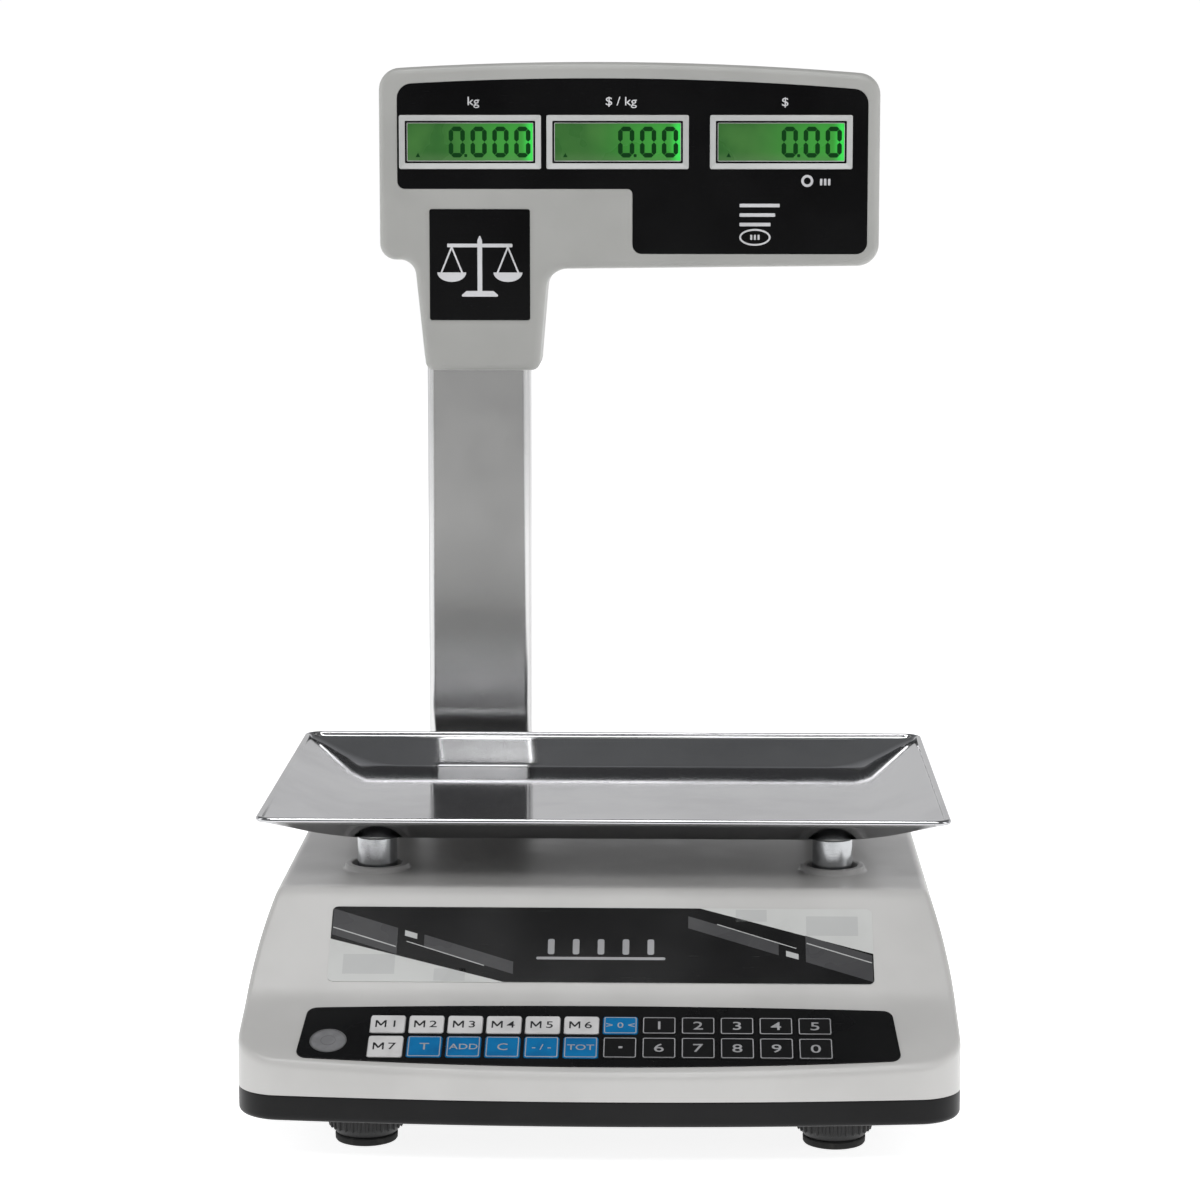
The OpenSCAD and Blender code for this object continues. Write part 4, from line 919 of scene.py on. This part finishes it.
# ---- Posts and seats ------------------------------------------------------------------------
# Four turned and plated steel posts stand on the platform's arms and pass up through the cover;
# each carries a soft seat that the pan's floor rests on.
ARM_TOP, POST_TOP, POST_R = 86.0, 129.0, 10.0
plated = Finish("post_steel", Metallic=1.0)
turning = plated.noise(40.0, 3.0, stretch=(0.2, 0.2, 40))
smear = plated.ramp(plated.noise(70.0, 4.0), 0.35, 0.75)
plated.feed(Base_Color=plated.mixed(smear, (0.44, 0.45, 0.46, 1), (0.34, 0.34, 0.35, 1)),
            Roughness=smear * 0.14 + turning * 0.08 + 0.12, Normal=plated.bump(turning, 0.01, 0.3))
seat_rubber = moulded("seat_rubber", tone(196, 196, 192), tone(210, 210, 206), 0.6)
post = [(0, ARM_TOP), (9.4, ARM_TOP), (POST_R, ARM_TOP + 0.6), (POST_R, POST_TOP - 0.8), (9.2, POST_TOP),
        (0, POST_TOP)]
seat = [(r, POST_TOP + z) for r, z in
        ((0, -7), (3.2, -7), (3.2, 0), (9.6, 0), (10, 0.4), (10, 2.0), (9.5, 2.5), (0, 2.5))]
for name, profile, finish, node, slot in (("post_set", post, plated, "pan_posts", "post_steel"),
                                          ("seat_set", seat, seat_rubber, "pan_seats", "seat_rubber")):
    add_piece(name, [lathe(profile, 64, x, y) for x, y in POST_AT], finish, "platform", node)

# ---- Weighing pan ---------------------------------------------------------------------------
# One sheet of bright stainless steel, pressed into a shallow dish with folded corners; its edge
# is rolled over into a bead.
PAN_HALF = (170.0, 120.0)
PAN_SLOPE = (35.0, 27.0)
PAN_FLOOR_Z = 132.5


def steel(name, light, dark, rough, grain, strength, scuffs=0.0, edge=0.7):
    """Polished stainless steel with a rolled grain along one direction and light handling marks."""
    metal = Finish(name, Metallic=1.0, Specular_Tint=(edge, edge, edge, 1))
    lines = metal.noise(55.0, 4.0, stretch=grain, rough=0.7)
    haze = metal.ramp(metal.noise(9.0, 4.0, rough=0.6), 0.35, 0.75)
    swirl = metal.ramp(metal.noise(210.0, 2.0, stretch=(1, 3, 1)), 0.68, 0.74)
    waves = metal.noise(7.0, 1.0)
    metal.feed(Base_Color=metal.mixed(haze, light, dark),
               Roughness=haze * 0.05 + lines * 0.05 + swirl * scuffs + rough,
               Normal=metal.bump(lines, 0.004, strength, metal.bump(waves, 0.25, 0.35)))
    return metal


pan_steel = steel("pan_steel", (0.56, 0.56, 0.57, 1), (0.46, 0.46, 0.47, 1), 0.05, (0.5, 12, 12), 0.12,
                  0.06, 0.62)
pan_section = [(1.5, 132.5), (1.2, 132.5), (1.12, 132.5), (1.07, 132.56), (1.02, 132.76), (0.97, 133.12),
               (0.92, 133.62), (0.87, 134.22), (0.7, 136.55), (0.5, 139.3), (0.3, 142.05), (0.2, 143.4),
               (0.16, 143.98), (0.125, 144.55), (0.105, 145.1), (0.092, 145.75), (0.08, 146.35),
               (0.064, 146.8), (0.045, 147.0), (0.025, 146.9), (0.01, 146.5), (0.0, 145.8), (0.003, 145.1),
               (0.015, 144.55), (0.035, 144.3), (0.052, 144.4)]
corner_sizes = [(0.0, 8.0), (0.12, 7.0), (0.3, 6.5), (0.7, 9.0), (1.0, 18.0), (1.5, 14.0)]


def pan_ring(f, z):
    """The pan's outline at a fraction f of the way from its edge to its floor."""
    r = float(np.interp(f, *zip(*corner_sizes)))
    w, h = [2 * (half - slope * f) for half, slope in zip(PAN_HALF, PAN_SLOPE)]
    return [(x, y, z) for x, y in rounded_box(w, h, r, 0, PAN_Y, 16)]


pan_rings = [pan_ring(f, z) for f, z in pan_section]
pan_points, pan_faces = loft(pan_rings)
pan_side = (pan_points, [tuple(reversed(f)) for f in pan_faces])
pan_grid = [(x, PAN_Y + y) for x in range(-100, 101, 25) for y in range(-60, 61, 20)]
pan_floor = flat_face(pan_rings[0], PAN_FLOOR_Z, extra=pan_grid)
pan = make_object("steel_pan", [pan_side, pan_floor], pan_steel, 60)
thicken(pan, 1.0)
settle(pan, "pan", "weighing_pan", 60)

# ---- Pole -----------------------------------------------------------------------------------
# A 57 x 30 tube of bright stainless steel stands in the bracket behind the case, with the display
# lead inside it.
POLE_X, POLE_Y = -75.5, 182.45
POLE_W, POLE_D, POLE_TOP = 57.0, 30.0, 395.0
pole_steel = steel("pole_steel", (0.62, 0.62, 0.62, 1), (0.54, 0.54, 0.54, 1), 0.13, (14, 14, 0.5), 0.3, 0.05)


def tube_ring(shrink, r, z):
    """The pole's outline, drawn in all round, at a height."""
    return [(x, y, z) for x, y in rounded_box(POLE_W - shrink, POLE_D - shrink, r, POLE_X, POLE_Y, 10)]


tube_heights = [FLOOR_GAP] + list(range(60, 390, 30)) + [POLE_TOP - 0.4]
tube_rings = [tube_ring(0, 4, z) for z in tube_heights] + [tube_ring(0.8, 3.6, POLE_TOP)]
tube_rings += [tube_ring(3, 2.5, z) for z in (POLE_TOP, FLOOR_GAP)] + [tube_rings[0]]
add_piece("pole", [loft(tube_rings)], pole_steel, "base", "pole_tube")

# ---- Pole bracket ---------------------------------------------------------------------------
# Welded from 3 mm steel plate and powder-coated: a foot plate under the tray and a sleeve that
# the pole is bolted into.
SLEEVE_W, SLEEVE_D, SLEEVE_TOP, BRACKET_LOW = 63.6, 36.6, 101.0, 18.5
bracket_coat = moulded("bracket_coat", tone(40, 40, 42), tone(54, 54, 56), 0.5, 2.2)
sleeve_steps = ((0.6, 3.4, BRACKET_LOW), (0, 4, BRACKET_LOW + 0.6), (0, 4, SLEEVE_TOP - 0.6),
                (0.6, 3.4, SLEEVE_TOP), (2.7, 4.3, SLEEVE_TOP), (2.7, 4.3, FLOOR_GAP))
sleeve_rings = []
for by, r, z in sleeve_steps:
    outline = rounded_box(SLEEVE_W - 2 * by, SLEEVE_D - 2 * by, r, POLE_X, POLE_Y, 6)
    sleeve_rings.append([(x, y, z) for x, y in outline])
plate_corners = [(-123.5, 132.55, 3), (-27.5, 132.55, 3), (-27.5, 164.1, 3), (-123.5, 164.1, 3)]
bracket_shapes = [loft(sleeve_rings), flat_face(sleeve_rings[0], BRACKET_LOW, False),
                  flat_face(sleeve_rings[-1], FLOOR_GAP),
                  plate(rounded(plate_corners, 5), [], BRACKET_LOW, FLOOR_GAP, 0.5)]
add_piece("bracket", bracket_shapes, bracket_coat, "base", "pole_bracket")

# ---- Display head ---------------------------------------------------------------------------
# Two light grey ABS half-shells meet on a fine parting line and are screwed together from the
# back; their neck slides over the pole.
HEAD_FRONT, HEAD_BACK = 160.45, 204.45
HEAD_X0, HEAD_X1, HEAD_Z, HEAD_TOP, NECK_Z = -129.25, 145.75, 403.0, 514.0, 345.0
CROWN_R, CROWN_X = 1800.0, -11.75
WINDOWS = (-79.0, 2.0, 91.6)
WINDOW_W, WINDOW_H, WINDOW_Z = 69.5, 21.0, 470.5
HALF_DEPTH = 22.0
SHELL_R = 4.2


def crown(x, lower=0.0):
    return HEAD_TOP - lower - (x - CROWN_X) ** 2 / (2 * CROWN_R)


def crowned_top(x0, x1, lower, r):
    """The corners of a panel's upper edge, from right to left, parallel to the crown."""
    between = [(x1 + (x0 - x1) * i / 16, crown(x1 + (x0 - x1) * i / 16, lower), 0) for i in range(1, 16)]
    return [(x1, crown(x1, lower), r)] + between + [(x0, crown(x0, lower), r)]


def at_front(u, v, t):
    """The head's front: u to the right, v up, t out of it."""
    return (u, HEAD_FRONT - t, v)


def at_back(u, v, t):
    """The head's back: u to the right as it is looked at, v up, t out of it."""
    return (-u, HEAD_BACK + t, v)


def seen_from_back(loop):
    """A front outline as it lies when it is looked at from behind, anticlockwise again."""
    return [(-u, v) for u, v in reversed(loop)]


neck = [(POLE_X - 28.6, NECK_Z, 4.8), (POLE_X + 34.2, NECK_Z, 4.8), (POLE_X + 38.95, HEAD_Z - 2, 12)]
head_ends = [(HEAD_X1, HEAD_Z, 12)] + crowned_top(HEAD_X0, HEAD_X1, 0, 12) + [(HEAD_X0, HEAD_Z + 3, 9)]
head_outline = rounded(neck + head_ends + [(POLE_X - 34.75, HEAD_Z + 3, 9)], 10)
overlay_outline = rounded([(-119, 445, 4), (10.25, 445, 3), (10.25, 409.5, 5), (139, 409.5, 6)]
                          + crowned_top(-119, 139, 9, 8), 6)
head_plastic = moulded("head_plastic", tone(167, 167, 164), tone(174, 174, 171), 0.4)
shell_lip = [(SHELL_R * (1 - math.sin(a)), -SHELL_R * (1 - math.cos(a)))
             for a in np.linspace(0, math.pi / 2, 8)]
shell_lip += [(0, -12), (0, -21.3), (0.35, -21.55), (0.6, -21.6), (0.6, -HALF_DEPTH)]
shell_lip.reverse()


def head_shell(name, outline, opening, place, extra_cuts=()):
    """One half of the head: a skin with a rounded edge, its wall, and the hole for the pole."""
    rings = [[(*p, t) for p in (inset_loop(outline, by) if by else outline)] for by, t in shell_lip]
    skin = [put(loft(rings), place), put(flat_face(rings[-1], 0, holes=[opening]), place)]
    shell = make_object(name, skin, head_plastic)
    thicken(shell, WALL)
    half_w, half_d = POLE_W / 2 + 0.3, POLE_D / 2 + 0.3
    low = (POLE_X - half_w, POLE_Y - half_d, NECK_Z - 5)
    high = (POLE_X + half_w, POLE_Y + half_d, POLE_TOP + 1)
    return cut_away(shell, [block(low, high), *extra_cuts])


opening = inset_loop(overlay_outline, -0.15)
front_shell = head_shell("head_front_shell", head_outline, opening, at_front)
settle(front_shell, "base", "head_front", 30)
HEAD_SCREWS = [(-117.25, 425.0, 6.0), (-1.75, 425.0, 6.0), (-92.5, 365.0, 2.4), (-58.5, 365.0, 2.4)]
well_cuts, cups = [], []
for x, z, deep in HEAD_SCREWS:
    on_screw = moved(at_back, -x, z)
    cup = [(0, -deep - 2), (5.55, -deep - 2), (5.55, -0.25), (5.35, -0.05), (4.6, -0.05), (4.4, -0.25),
           (4.4, -deep), (0, -deep)]
    well_cuts.append(put(lathe([(0, -9), (5.6, -9), (5.6, 3), (0, 3)], 32), on_screw))
    cups.append(put(lathe(cup, 32), on_screw))
back_outlines = seen_from_back(head_outline), seen_from_back(opening)
back_shell = head_shell("head_back_shell", *back_outlines, at_back, well_cuts)
join(back_shell, make_object("cups", cups, head_plastic))
settle(back_shell, "base", "head_back", 30)

# ---- Display windows ------------------------------------------------------------------------
# Printed black films lie flush in the front and back of the head; behind each window is a
# liquid-crystal panel with a green backlight, in a pale bevelled frame.
display_film = printed_film("display_film", tone(7, 7, 8), tone(12, 12, 13), 0.22, 0.15)
SIDES = ((1, at_front), (-1, at_back))
FILM_LOW, GLASS_TOP, GLASS_T = -0.8, -0.82, 9.0
film_holes = [rounded_box(WINDOW_W, WINDOW_H, 0.4, x, WINDOW_Z, 2) for x in WINDOWS]
back_film_holes = [seen_from_back(h) for h in film_holes]
films = [plate(overlay_outline, film_holes, FILM_LOW, 0, 0.1, at_front),
         plate(seen_from_back(overlay_outline), back_film_holes, FILM_LOW, 0, 0.1, at_back)]
add_piece("display_films", films, display_film, "base", "display_overlays")
frame_grey = moulded("window_frame_plastic", tone(184, 185, 184), tone(196, 197, 196), 0.36)
FRAME_W, FRAME_H = 78.0, 29.4


def window_frame(cx, place):
    """A frame round a window: a proud outer edge and an inner face that slopes in to the panel."""
    outer, inner = (FRAME_W, FRAME_H), (WINDOW_W - 0.6, WINDOW_H - 0.6)
    (ow, oh), (iw, ih) = outer, inner
    steps = [(ow, oh, 0.0, 1.0), (ow, oh, 0.75, 1.0), (ow - 0.3, oh - 0.3, 0.95, 0.9),
             (ow - 1.4, oh - 1.4, 1.0, 0.8), (iw + 1.0, ih + 1.0, -0.35, 0.5), (iw, ih, -0.75, 0.4),
             (iw, ih, -0.95, 0.4), (iw + 2, ih + 2, -0.95, 0.4), (ow, oh, 0.0, 1.0)]
    rings = [[(u, v, t) for u, v in rounded_box(w, h, r, cx, WINDOW_Z, 4)] for w, h, t, r in steps]
    return put(loft(rings), place)


frames = [window_frame(side * x, place) for side, place in SIDES for x in WINDOWS]
add_piece("window_frames", frames, frame_grey, "base", None)
lcd = Finish("display_glass", Coat_Weight=0.2, Coat_Roughness=0.06, Specular_IOR_Level=0.3,
             Emission_Strength=0.32)
across = lcd.split(lcd.node("ShaderNodeUVMap", {"uv_map": "panel"}, {}))
backlight = lcd.ramp(across[0], 0.9, 1.0)
unevenness = lcd.ramp(lcd.noise(45.0, 2.0), 0.3, 0.7)
lcd_green = lcd.mixed(unevenness, tone(44, 92, 40), tone(58, 106, 48))
lcd_green = lcd.mixed(lcd.ramp(across[0], 0.2, 0.9), lcd_green, tone(54, 140, 52))
lcd_green = lcd.mixed(lcd.ramp(across[1], 0.3, 0.0) * 0.4, lcd_green, tone(84, 116, 74))
lcd_green = lcd.mixed(backlight * 0.8, lcd_green, tone(60, 235, 90))
lcd.feed(Base_Color=lcd_green, Emission_Color=lcd_green, Roughness=unevenness * 0.1 + 0.25)
glass_boxes = [(rounded_box(WINDOW_W + 4, WINDOW_H + 4.4, 0.5, side * x, WINDOW_Z, 2), place)
               for x in WINDOWS for side, place in SIDES]
lcd_shapes = [plate(loop, [], FILM_LOW - GLASS_T, GLASS_TOP, 0.1, place) for loop, place in glass_boxes]
lcds = make_object("lcd_panels", lcd_shapes, lcd)
panel_uv = lcds.data.uv_layers.new(name="panel")
for loop in lcds.data.loops:
    px, py, pz = [c * 1000 for c in lcds.data.vertices[loop.vertex_index].co]
    nearest = min(WINDOWS, key=lambda w: abs(w - px))
    u = (px - nearest) / WINDOW_W + 0.5
    panel_uv.data[loop.index].uv = (u if py < POLE_Y else 1 - u, (pz - WINDOW_Z) / WINDOW_H + 0.5)
settle(lcds, "base", "display_glasses")

# ---- Figures --------------------------------------------------------------------------------
# The figures of the display are seven-segment shapes of dark liquid crystal on the green panels,
# repeated for the customer at the back.
DIGIT_H, DIGIT_W, SEGMENT = 16.8, 8.9, 2.5
segment_ink = Finish("segment_ink", Specular_IOR_Level=0.2, Emission_Strength=0.15)
segment_tint = segment_ink.mixed(segment_ink.noise(60.0), tone(2, 46, 10), tone(6, 62, 16))
segment_ink.feed(Base_Color=segment_tint, Emission_Color=segment_tint,
                 Roughness=segment_ink.noise(300.0) * 0.1 + 0.25)
ZERO = "abcdef"


def crystal(loop, place):
    """A dark outline on the face of a panel."""
    return plate(loop, [], GLASS_TOP, GLASS_TOP + 0.04, 0, place)


def segment(x0, z0, x1, z1):
    """One segment between two points: a bar with pointed ends."""
    length = math.hypot(x1 - x0, z1 - z0)
    ux, uz = (x1 - x0) / length, (z1 - z0) / length
    nx, nz = -uz, ux
    w, gap = SEGMENT / 2, 0.12
    corners = [(gap, 0), (gap + w, -w), (length - gap - w, -w), (length - gap, 0), (length - gap - w, w),
               (gap + w, w)]
    return [(x0 + ux * a + nx * b, z0 + uz * a + nz * b) for a, b in corners]


def figure_shapes(text, right, place):
    """Figures, all of them noughts, that end at the right edge, with points between them."""
    shapes, x, z = [], right, WINDOW_Z
    half_w, half_h = (DIGIT_W - SEGMENT) / 2, (DIGIT_H - SEGMENT) / 2
    for character in reversed(text):
        if character == ".":
            shapes.append(crystal(rounded_box(1.7, 1.7, 0.5, x + 0.45, z - half_h - 0.2, 3), place))
            continue
        x0, x1 = x - DIGIT_W / 2 - half_w, x - DIGIT_W / 2 + half_w
        z0, z1 = z - half_h, z + half_h
        ends = {"a": (x0, z1, x1, z1), "b": (x1, z, x1, z1), "c": (x1, z0, x1, z), "d": (x0, z0, x1, z0),
                "e": (x0, z0, x0, z), "f": (x0, z, x0, z1)}
        shapes += [crystal(segment(*ends[s]), place) for s in ZERO]
        x -= DIGIT_W + 3.1
    return shapes


figures = []
for text, x in zip(("0.000", "0.00", "0.00"), WINDOWS):
    for side, place in SIDES:
        figures += figure_shapes(text, side * x + WINDOW_W / 2 - 1.6, place)
        tick = [(side * x + u, WINDOW_Z + v) for u, v in ((-30, -8.2), (-27.4, -8.2), (-28.7, -5.9))]
        figures.append(crystal(tick, place))
add_piece("display_figures", figures, segment_ink, "base", None, 20)

# ---- Display printing -----------------------------------------------------------------------
# White print on the black films: the units over the windows, the mains lamp's ring, and plain
# bars where the rating stood. A square badge on the neck carries a plain balance.
head_ink = printed_film("head_ink", tone(196, 196, 198), tone(214, 214, 216), 0.45, 0.0)
prints = []
for side, place in SIDES:
    for text, x in zip(("kg", "$ / kg", "$"), WINDOWS):
        prints.append(letters(text, 6.6, moved(place, side * x + (2 if side > 0 else 0), 492.0)))
    lamp = moved(place, side * 106.0, 449.4)
    prints.append(printed(ring(0, 0, 3.3, 3.3, 28), lamp, [ring(0, 0, 1.9, 1.9, 28)]))
    prints += [printed(rounded_box(1.3, 3.6, 0.2, 7.6 + 2.2 * k, -0.6, 2), lamp) for k in range(3)]
    rating = moved(place, side * 80.0, 434.0)
    for k, width in enumerate((22.0, 19.5, 17.0)):
        prints.append(printed(rounded_box(width, 1.9, 0.3, (width - 22) / 2, -5.2 * k + 2, 2), rating))
    oval = moved(place, side * 80.0 - 2.5, 418.6)
    prints.append(printed(ring(0, 0, 8.6, 4.6, 40), oval, [ring(0, 0, 7.6, 3.6, 40)]))
    prints += [printed(rounded_box(1.1, 2.8, 0.2, 2.0 * k, 0, 2), oval) for k in (-1, 0, 1)]
add_piece("display_printing", prints, head_ink, "base", None, 20)
BADGE_X, BADGE_Z, BADGE_W, BADGE_H, BADGE_T = -73.9, 403.4, 55.4, 61.0, 0.38
on_badge = moved(at_front, BADGE_X, BADGE_Z)
badge = plate(rounded_box(BADGE_W, BADGE_H, 1.2, steps=5), [], 0, BADGE_T, 0.1, on_badge)
add_piece("head_badge", [badge], label_black, "base", None)
balance = [rounded([(-1.3, -15, 0), (1.3, -15, 0), (1.3, 13.5, 0.4), (0, 16.5, 0.4), (-1.3, 13.5, 0.4)], 3),
           rounded([(-11, -17.5, 0.6), (11, -17.5, 0.6), (7.5, -14.4, 0.6), (-7.5, -14.4, 0.6)], 3),
           rounded([(-18, 9.6, 0.5), (18, 9.6, 0.5), (18, 11.6, 0.5), (-18, 11.6, 0.5)], 3)]
for arm in (-15.5, 15.5):
    for end in (-6.2, 5.2):
        balance.append([(arm + end, -4.2), (arm + end + 1, -4.2), (arm + 0.5, 9.7), (arm - 0.5, 9.7)])
    balance.append([(arm - 8 * math.cos(a), -4.2 - 5.2 * math.sin(a)) for a in np.linspace(0, math.pi, 13)])
badge_shapes = [plate(loop, [], 0, INK, 0, moved(on_badge, 0, 0, BADGE_T + 0.02 * (k % 3)))
                for k, loop in enumerate(balance)]
add_piece("badge_balance", badge_shapes, head_ink, "base", None, 20)


# ---- Screws and bolts -----------------------------------------------------------------------
# Self-tapping screws with cross slots hold the tray, the bracket and the head; socket-head bolts
# hold the pole. Each set is one point cloud with a screw head put on every point.
def screw_tree():
    """A pan head with a recess on every point: round with a cross, or straight with a hexagon."""
    wiring, value = new_tree("screw_heads", ("Head Radius", "Float", 0.004), ("Head Height", "Float", 0.0024),
                             ("Shank Radius", "Float", 0.002), ("Shank Length", "Float", 0.014),
                             ("Recess Width", "Float", 0.0009), ("Recess Length", "Float", 0.0046),
                             ("Turn", "Vector", (0, 0, 0)), ("Hexagon", "Bool", False))
    head_r, head_h, shank_l = value["Head Radius"], value["Head Height"], value["Shank Length"]
    width, length = value["Recess Width"], value["Recess Length"]
    make = wiring.geometry

    def vector(x, y, z):
        return wiring.node("ShaderNodeCombineXYZ", {}, [x, y, z])

    def lifted(mesh, z):
        return make("Transform", Geometry=mesh, Translation=vector(0.0, 0.0, z))

    def fused(operation, parts, given=None):
        return wiring.gather("GeometryNodeMeshBoolean", {"operation": operation}, parts, "Mesh 2", given)

    low_r, high_h = head_r * 0.999, head_h * 0.7
    collar = make("MeshCone", Vertices=28, Radius_Top=low_r, Radius_Bottom=head_r, Depth=high_h)
    dome = make("MeshCone", Vertices=28, Radius_Top=head_r * 0.82, Radius_Bottom=low_r, Depth=head_h * 0.3)
    head = fused("UNION", [collar, lifted(dome, high_h)])
    slots = [make("MeshCube", Size=vector(*size, head_h)) for size in ((length, width), (width, length))]
    hexagon = make("MeshCylinder", Vertices=6, Radius=length * 0.5, Depth=head_h)
    recess = wiring.node("GeometryNodeSwitch", {"input_type": "GEOMETRY"},
                         {"Switch": value["Hexagon"], "False": fused("UNION", slots), "True": hexagon})
    cut_head = fused("DIFFERENCE", [lifted(recess, head_h * 0.9)], {"Mesh 1": head})
    shank = make("MeshCylinder", Vertices=16, Radius=value["Shank Radius"], Depth=shank_l)
    whole = wiring.gather("GeometryNodeJoinGeometry", {}, [cut_head, lifted(shank, shank_l * -0.5)], 0)
    stand = make("InstanceOnPoints", Points=value["Geometry"], Instance=whole, Rotation=value["Turn"])
    return end_tree(wiring, stand, value["Material"])


brushed = (1500.0, 3.0, 0.02, 0.4)
zinc = mottled("screw_zinc", (0.60, 0.60, 0.61, 1), (0.38, 0.38, 0.40, 1), (420.0, 4.0, 0.7, 0.4, 0.7),
               (0.25, 0.2), brushed, Metallic=1.0)
black_oxide = mottled("bolt_oxide", (0.05, 0.05, 0.055, 1), (0.12, 0.115, 0.11, 1),
                      (380.0, 4.0, 0.7, 0.4, 0.7), (0.32, 0.2), brushed, Metallic=0.9)
heads = screw_tree()
DOWN, BACKWARD, UP = (math.pi, 0.0, 0.0), (-math.pi / 2, 0.0, 0.0), (0.0, 0.0, 0.0)
CELL_TOP = 74.0
BOLT = dict(Head_Radius=0.005, Head_Height=0.0035, Shank_Radius=0.003, Recess_Length=0.0046, Hexagon=True)


def screw_set(name, spots, finish, turn, **sizes):
    """Screw heads whose undersides lie at the spots."""
    mesh = bpy.data.meshes.new(name)
    mesh.from_pydata([[c * 0.001 for c in p] for p in spots], [], [])
    piece = bpy.data.objects.new(name, mesh)
    scene.collection.objects.link(piece)
    return grow(piece, heads, Turn=turn, Material=finish.material, **sizes)


case_screws = screw_set("case_screws", [(x, y, 23.9) for x, y in CASE_SCREWS], zinc, DOWN)
bracket_screws = screw_set("bracket_screws", [(x, 143.55, 18.5) for x in (-111.5, -39.5)], zinc, DOWN)
head_spots = [(x, HEAD_BACK - deep, z) for x, z, deep in HEAD_SCREWS]
long_screws = screw_set("long_screws", head_spots[:2], zinc, BACKWARD, Shank_Length=0.026)
neck_screws = screw_set("neck_screws", head_spots[2:], zinc, BACKWARD, Shank_Length=0.01)
join(case_screws, bracket_screws, long_screws, neck_screws)
settle(case_screws, "base", "housing_screws")
pole_spots = [(-89.5, POLE_Y + SLEEVE_D / 2, z) for z in (44.0, 89.0)]
cell_spots = [(0, PAN_Y + 55 - 18 * k, CELL_TOP) for k in (0, 1)]
arm_spots = [(0, PAN_Y - 55 + 18 * k, ARM_TOP) for k in (0, 1)]
pole_bolts = screw_set("pole_bolts", pole_spots, black_oxide, BACKWARD, Shank_Length=0.035, **BOLT)
cell_bolts = screw_set("cell_bolts", cell_spots, black_oxide, UP, Shank_Length=0.036, **BOLT)
join(pole_bolts, cell_bolts)
settle(pole_bolts, "base", "frame_bolts")
top_bolts = screw_set("top_bolts", arm_spots, black_oxide, UP, Shank_Length=0.032, **BOLT)
settle(top_bolts, "platform", "platform_bolts")

# ---- Mains inlet, switch and the parts inside -----------------------------------------------
# The small two-pin inlet, the rocker switch, the load cell, the cast platform, the boards, the
# battery and the ribbon lead keep their CAD shapes and take finishes of their own.
black_nylon = moulded("inlet_nylon", tone(20, 20, 21), tone(28, 28, 29), 0.45, 1.2)
rocker_nylon = moulded("rocker_nylon", tone(26, 26, 27), tone(36, 36, 37), 0.32, 0.5)
battery_abs = moulded("battery_abs", tone(52, 56, 62), tone(64, 68, 74), 0.5, 1.5)
beam = steel("beam_aluminium", (0.78, 0.78, 0.79, 1), (0.68, 0.68, 0.69, 1), 0.3, (20, 0.6, 20), 0.6, 0.1)
casting = Finish("cast_aluminium", Metallic=1.0)
sand = casting.noise(600.0, 5.0, rough=0.7)
cloud = casting.ramp(casting.noise(40.0, 3.0), 0.3, 0.7)
cast_tone = casting.mixed(cloud, (0.5, 0.5, 0.51, 1), (0.42, 0.42, 0.43, 1))
casting.feed(Base_Color=cast_tone, Roughness=sand * 0.2 + 0.42, Normal=casting.bump(sand, 0.15, 0.8))
board = Finish("circuit_board", Coat_Weight=0.6, Coat_Roughness=0.15, Specular_IOR_Level=0.5)
weave = board.node("ShaderNodeTexChecker", {}, {"Vector": board.place, "Scale": 900.0}, "Fac")
traces = board.ramp(board.noise(130.0, 2.0, stretch=(1, 0.2, 1)), 0.5, 0.53)
laminate = board.mixed(weave * 0.25, tone(16, 74, 42), tone(22, 86, 50))
board.feed(Base_Color=board.mixed(traces, laminate, tone(38, 112, 62)), Roughness=traces * 0.1 + 0.4,
           Normal=board.bump(traces, 0.04, 0.6))
sheath = Finish("cable_sheath", Specular_IOR_Level=0.4)
strands = abs(sheath.node("ShaderNodeMath", {"operation": "SINE"}, [sheath.split(sheath.place)[0] * 3140.0]))
sheath.feed(Base_Color=sheath.mixed(strands, tone(88, 88, 90), tone(128, 128, 130)),
            Roughness=strands * 0.1 + 0.45, Normal=sheath.bump(strands, 0.3, 0.8))
kept_shapes = {"power_inlet": black_nylon, "switch_housing": black_nylon, "power_rocker": rocker_nylon,
               "battery": battery_abs, "load_cell": beam, "load_platform": casting, "main_board": board,
               "keypad_board": board, "display_board": board, "display_cable": sheath}
for node, finish in kept_shapes.items():
    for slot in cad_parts[node].material_slots:
        slot.material = finish.material
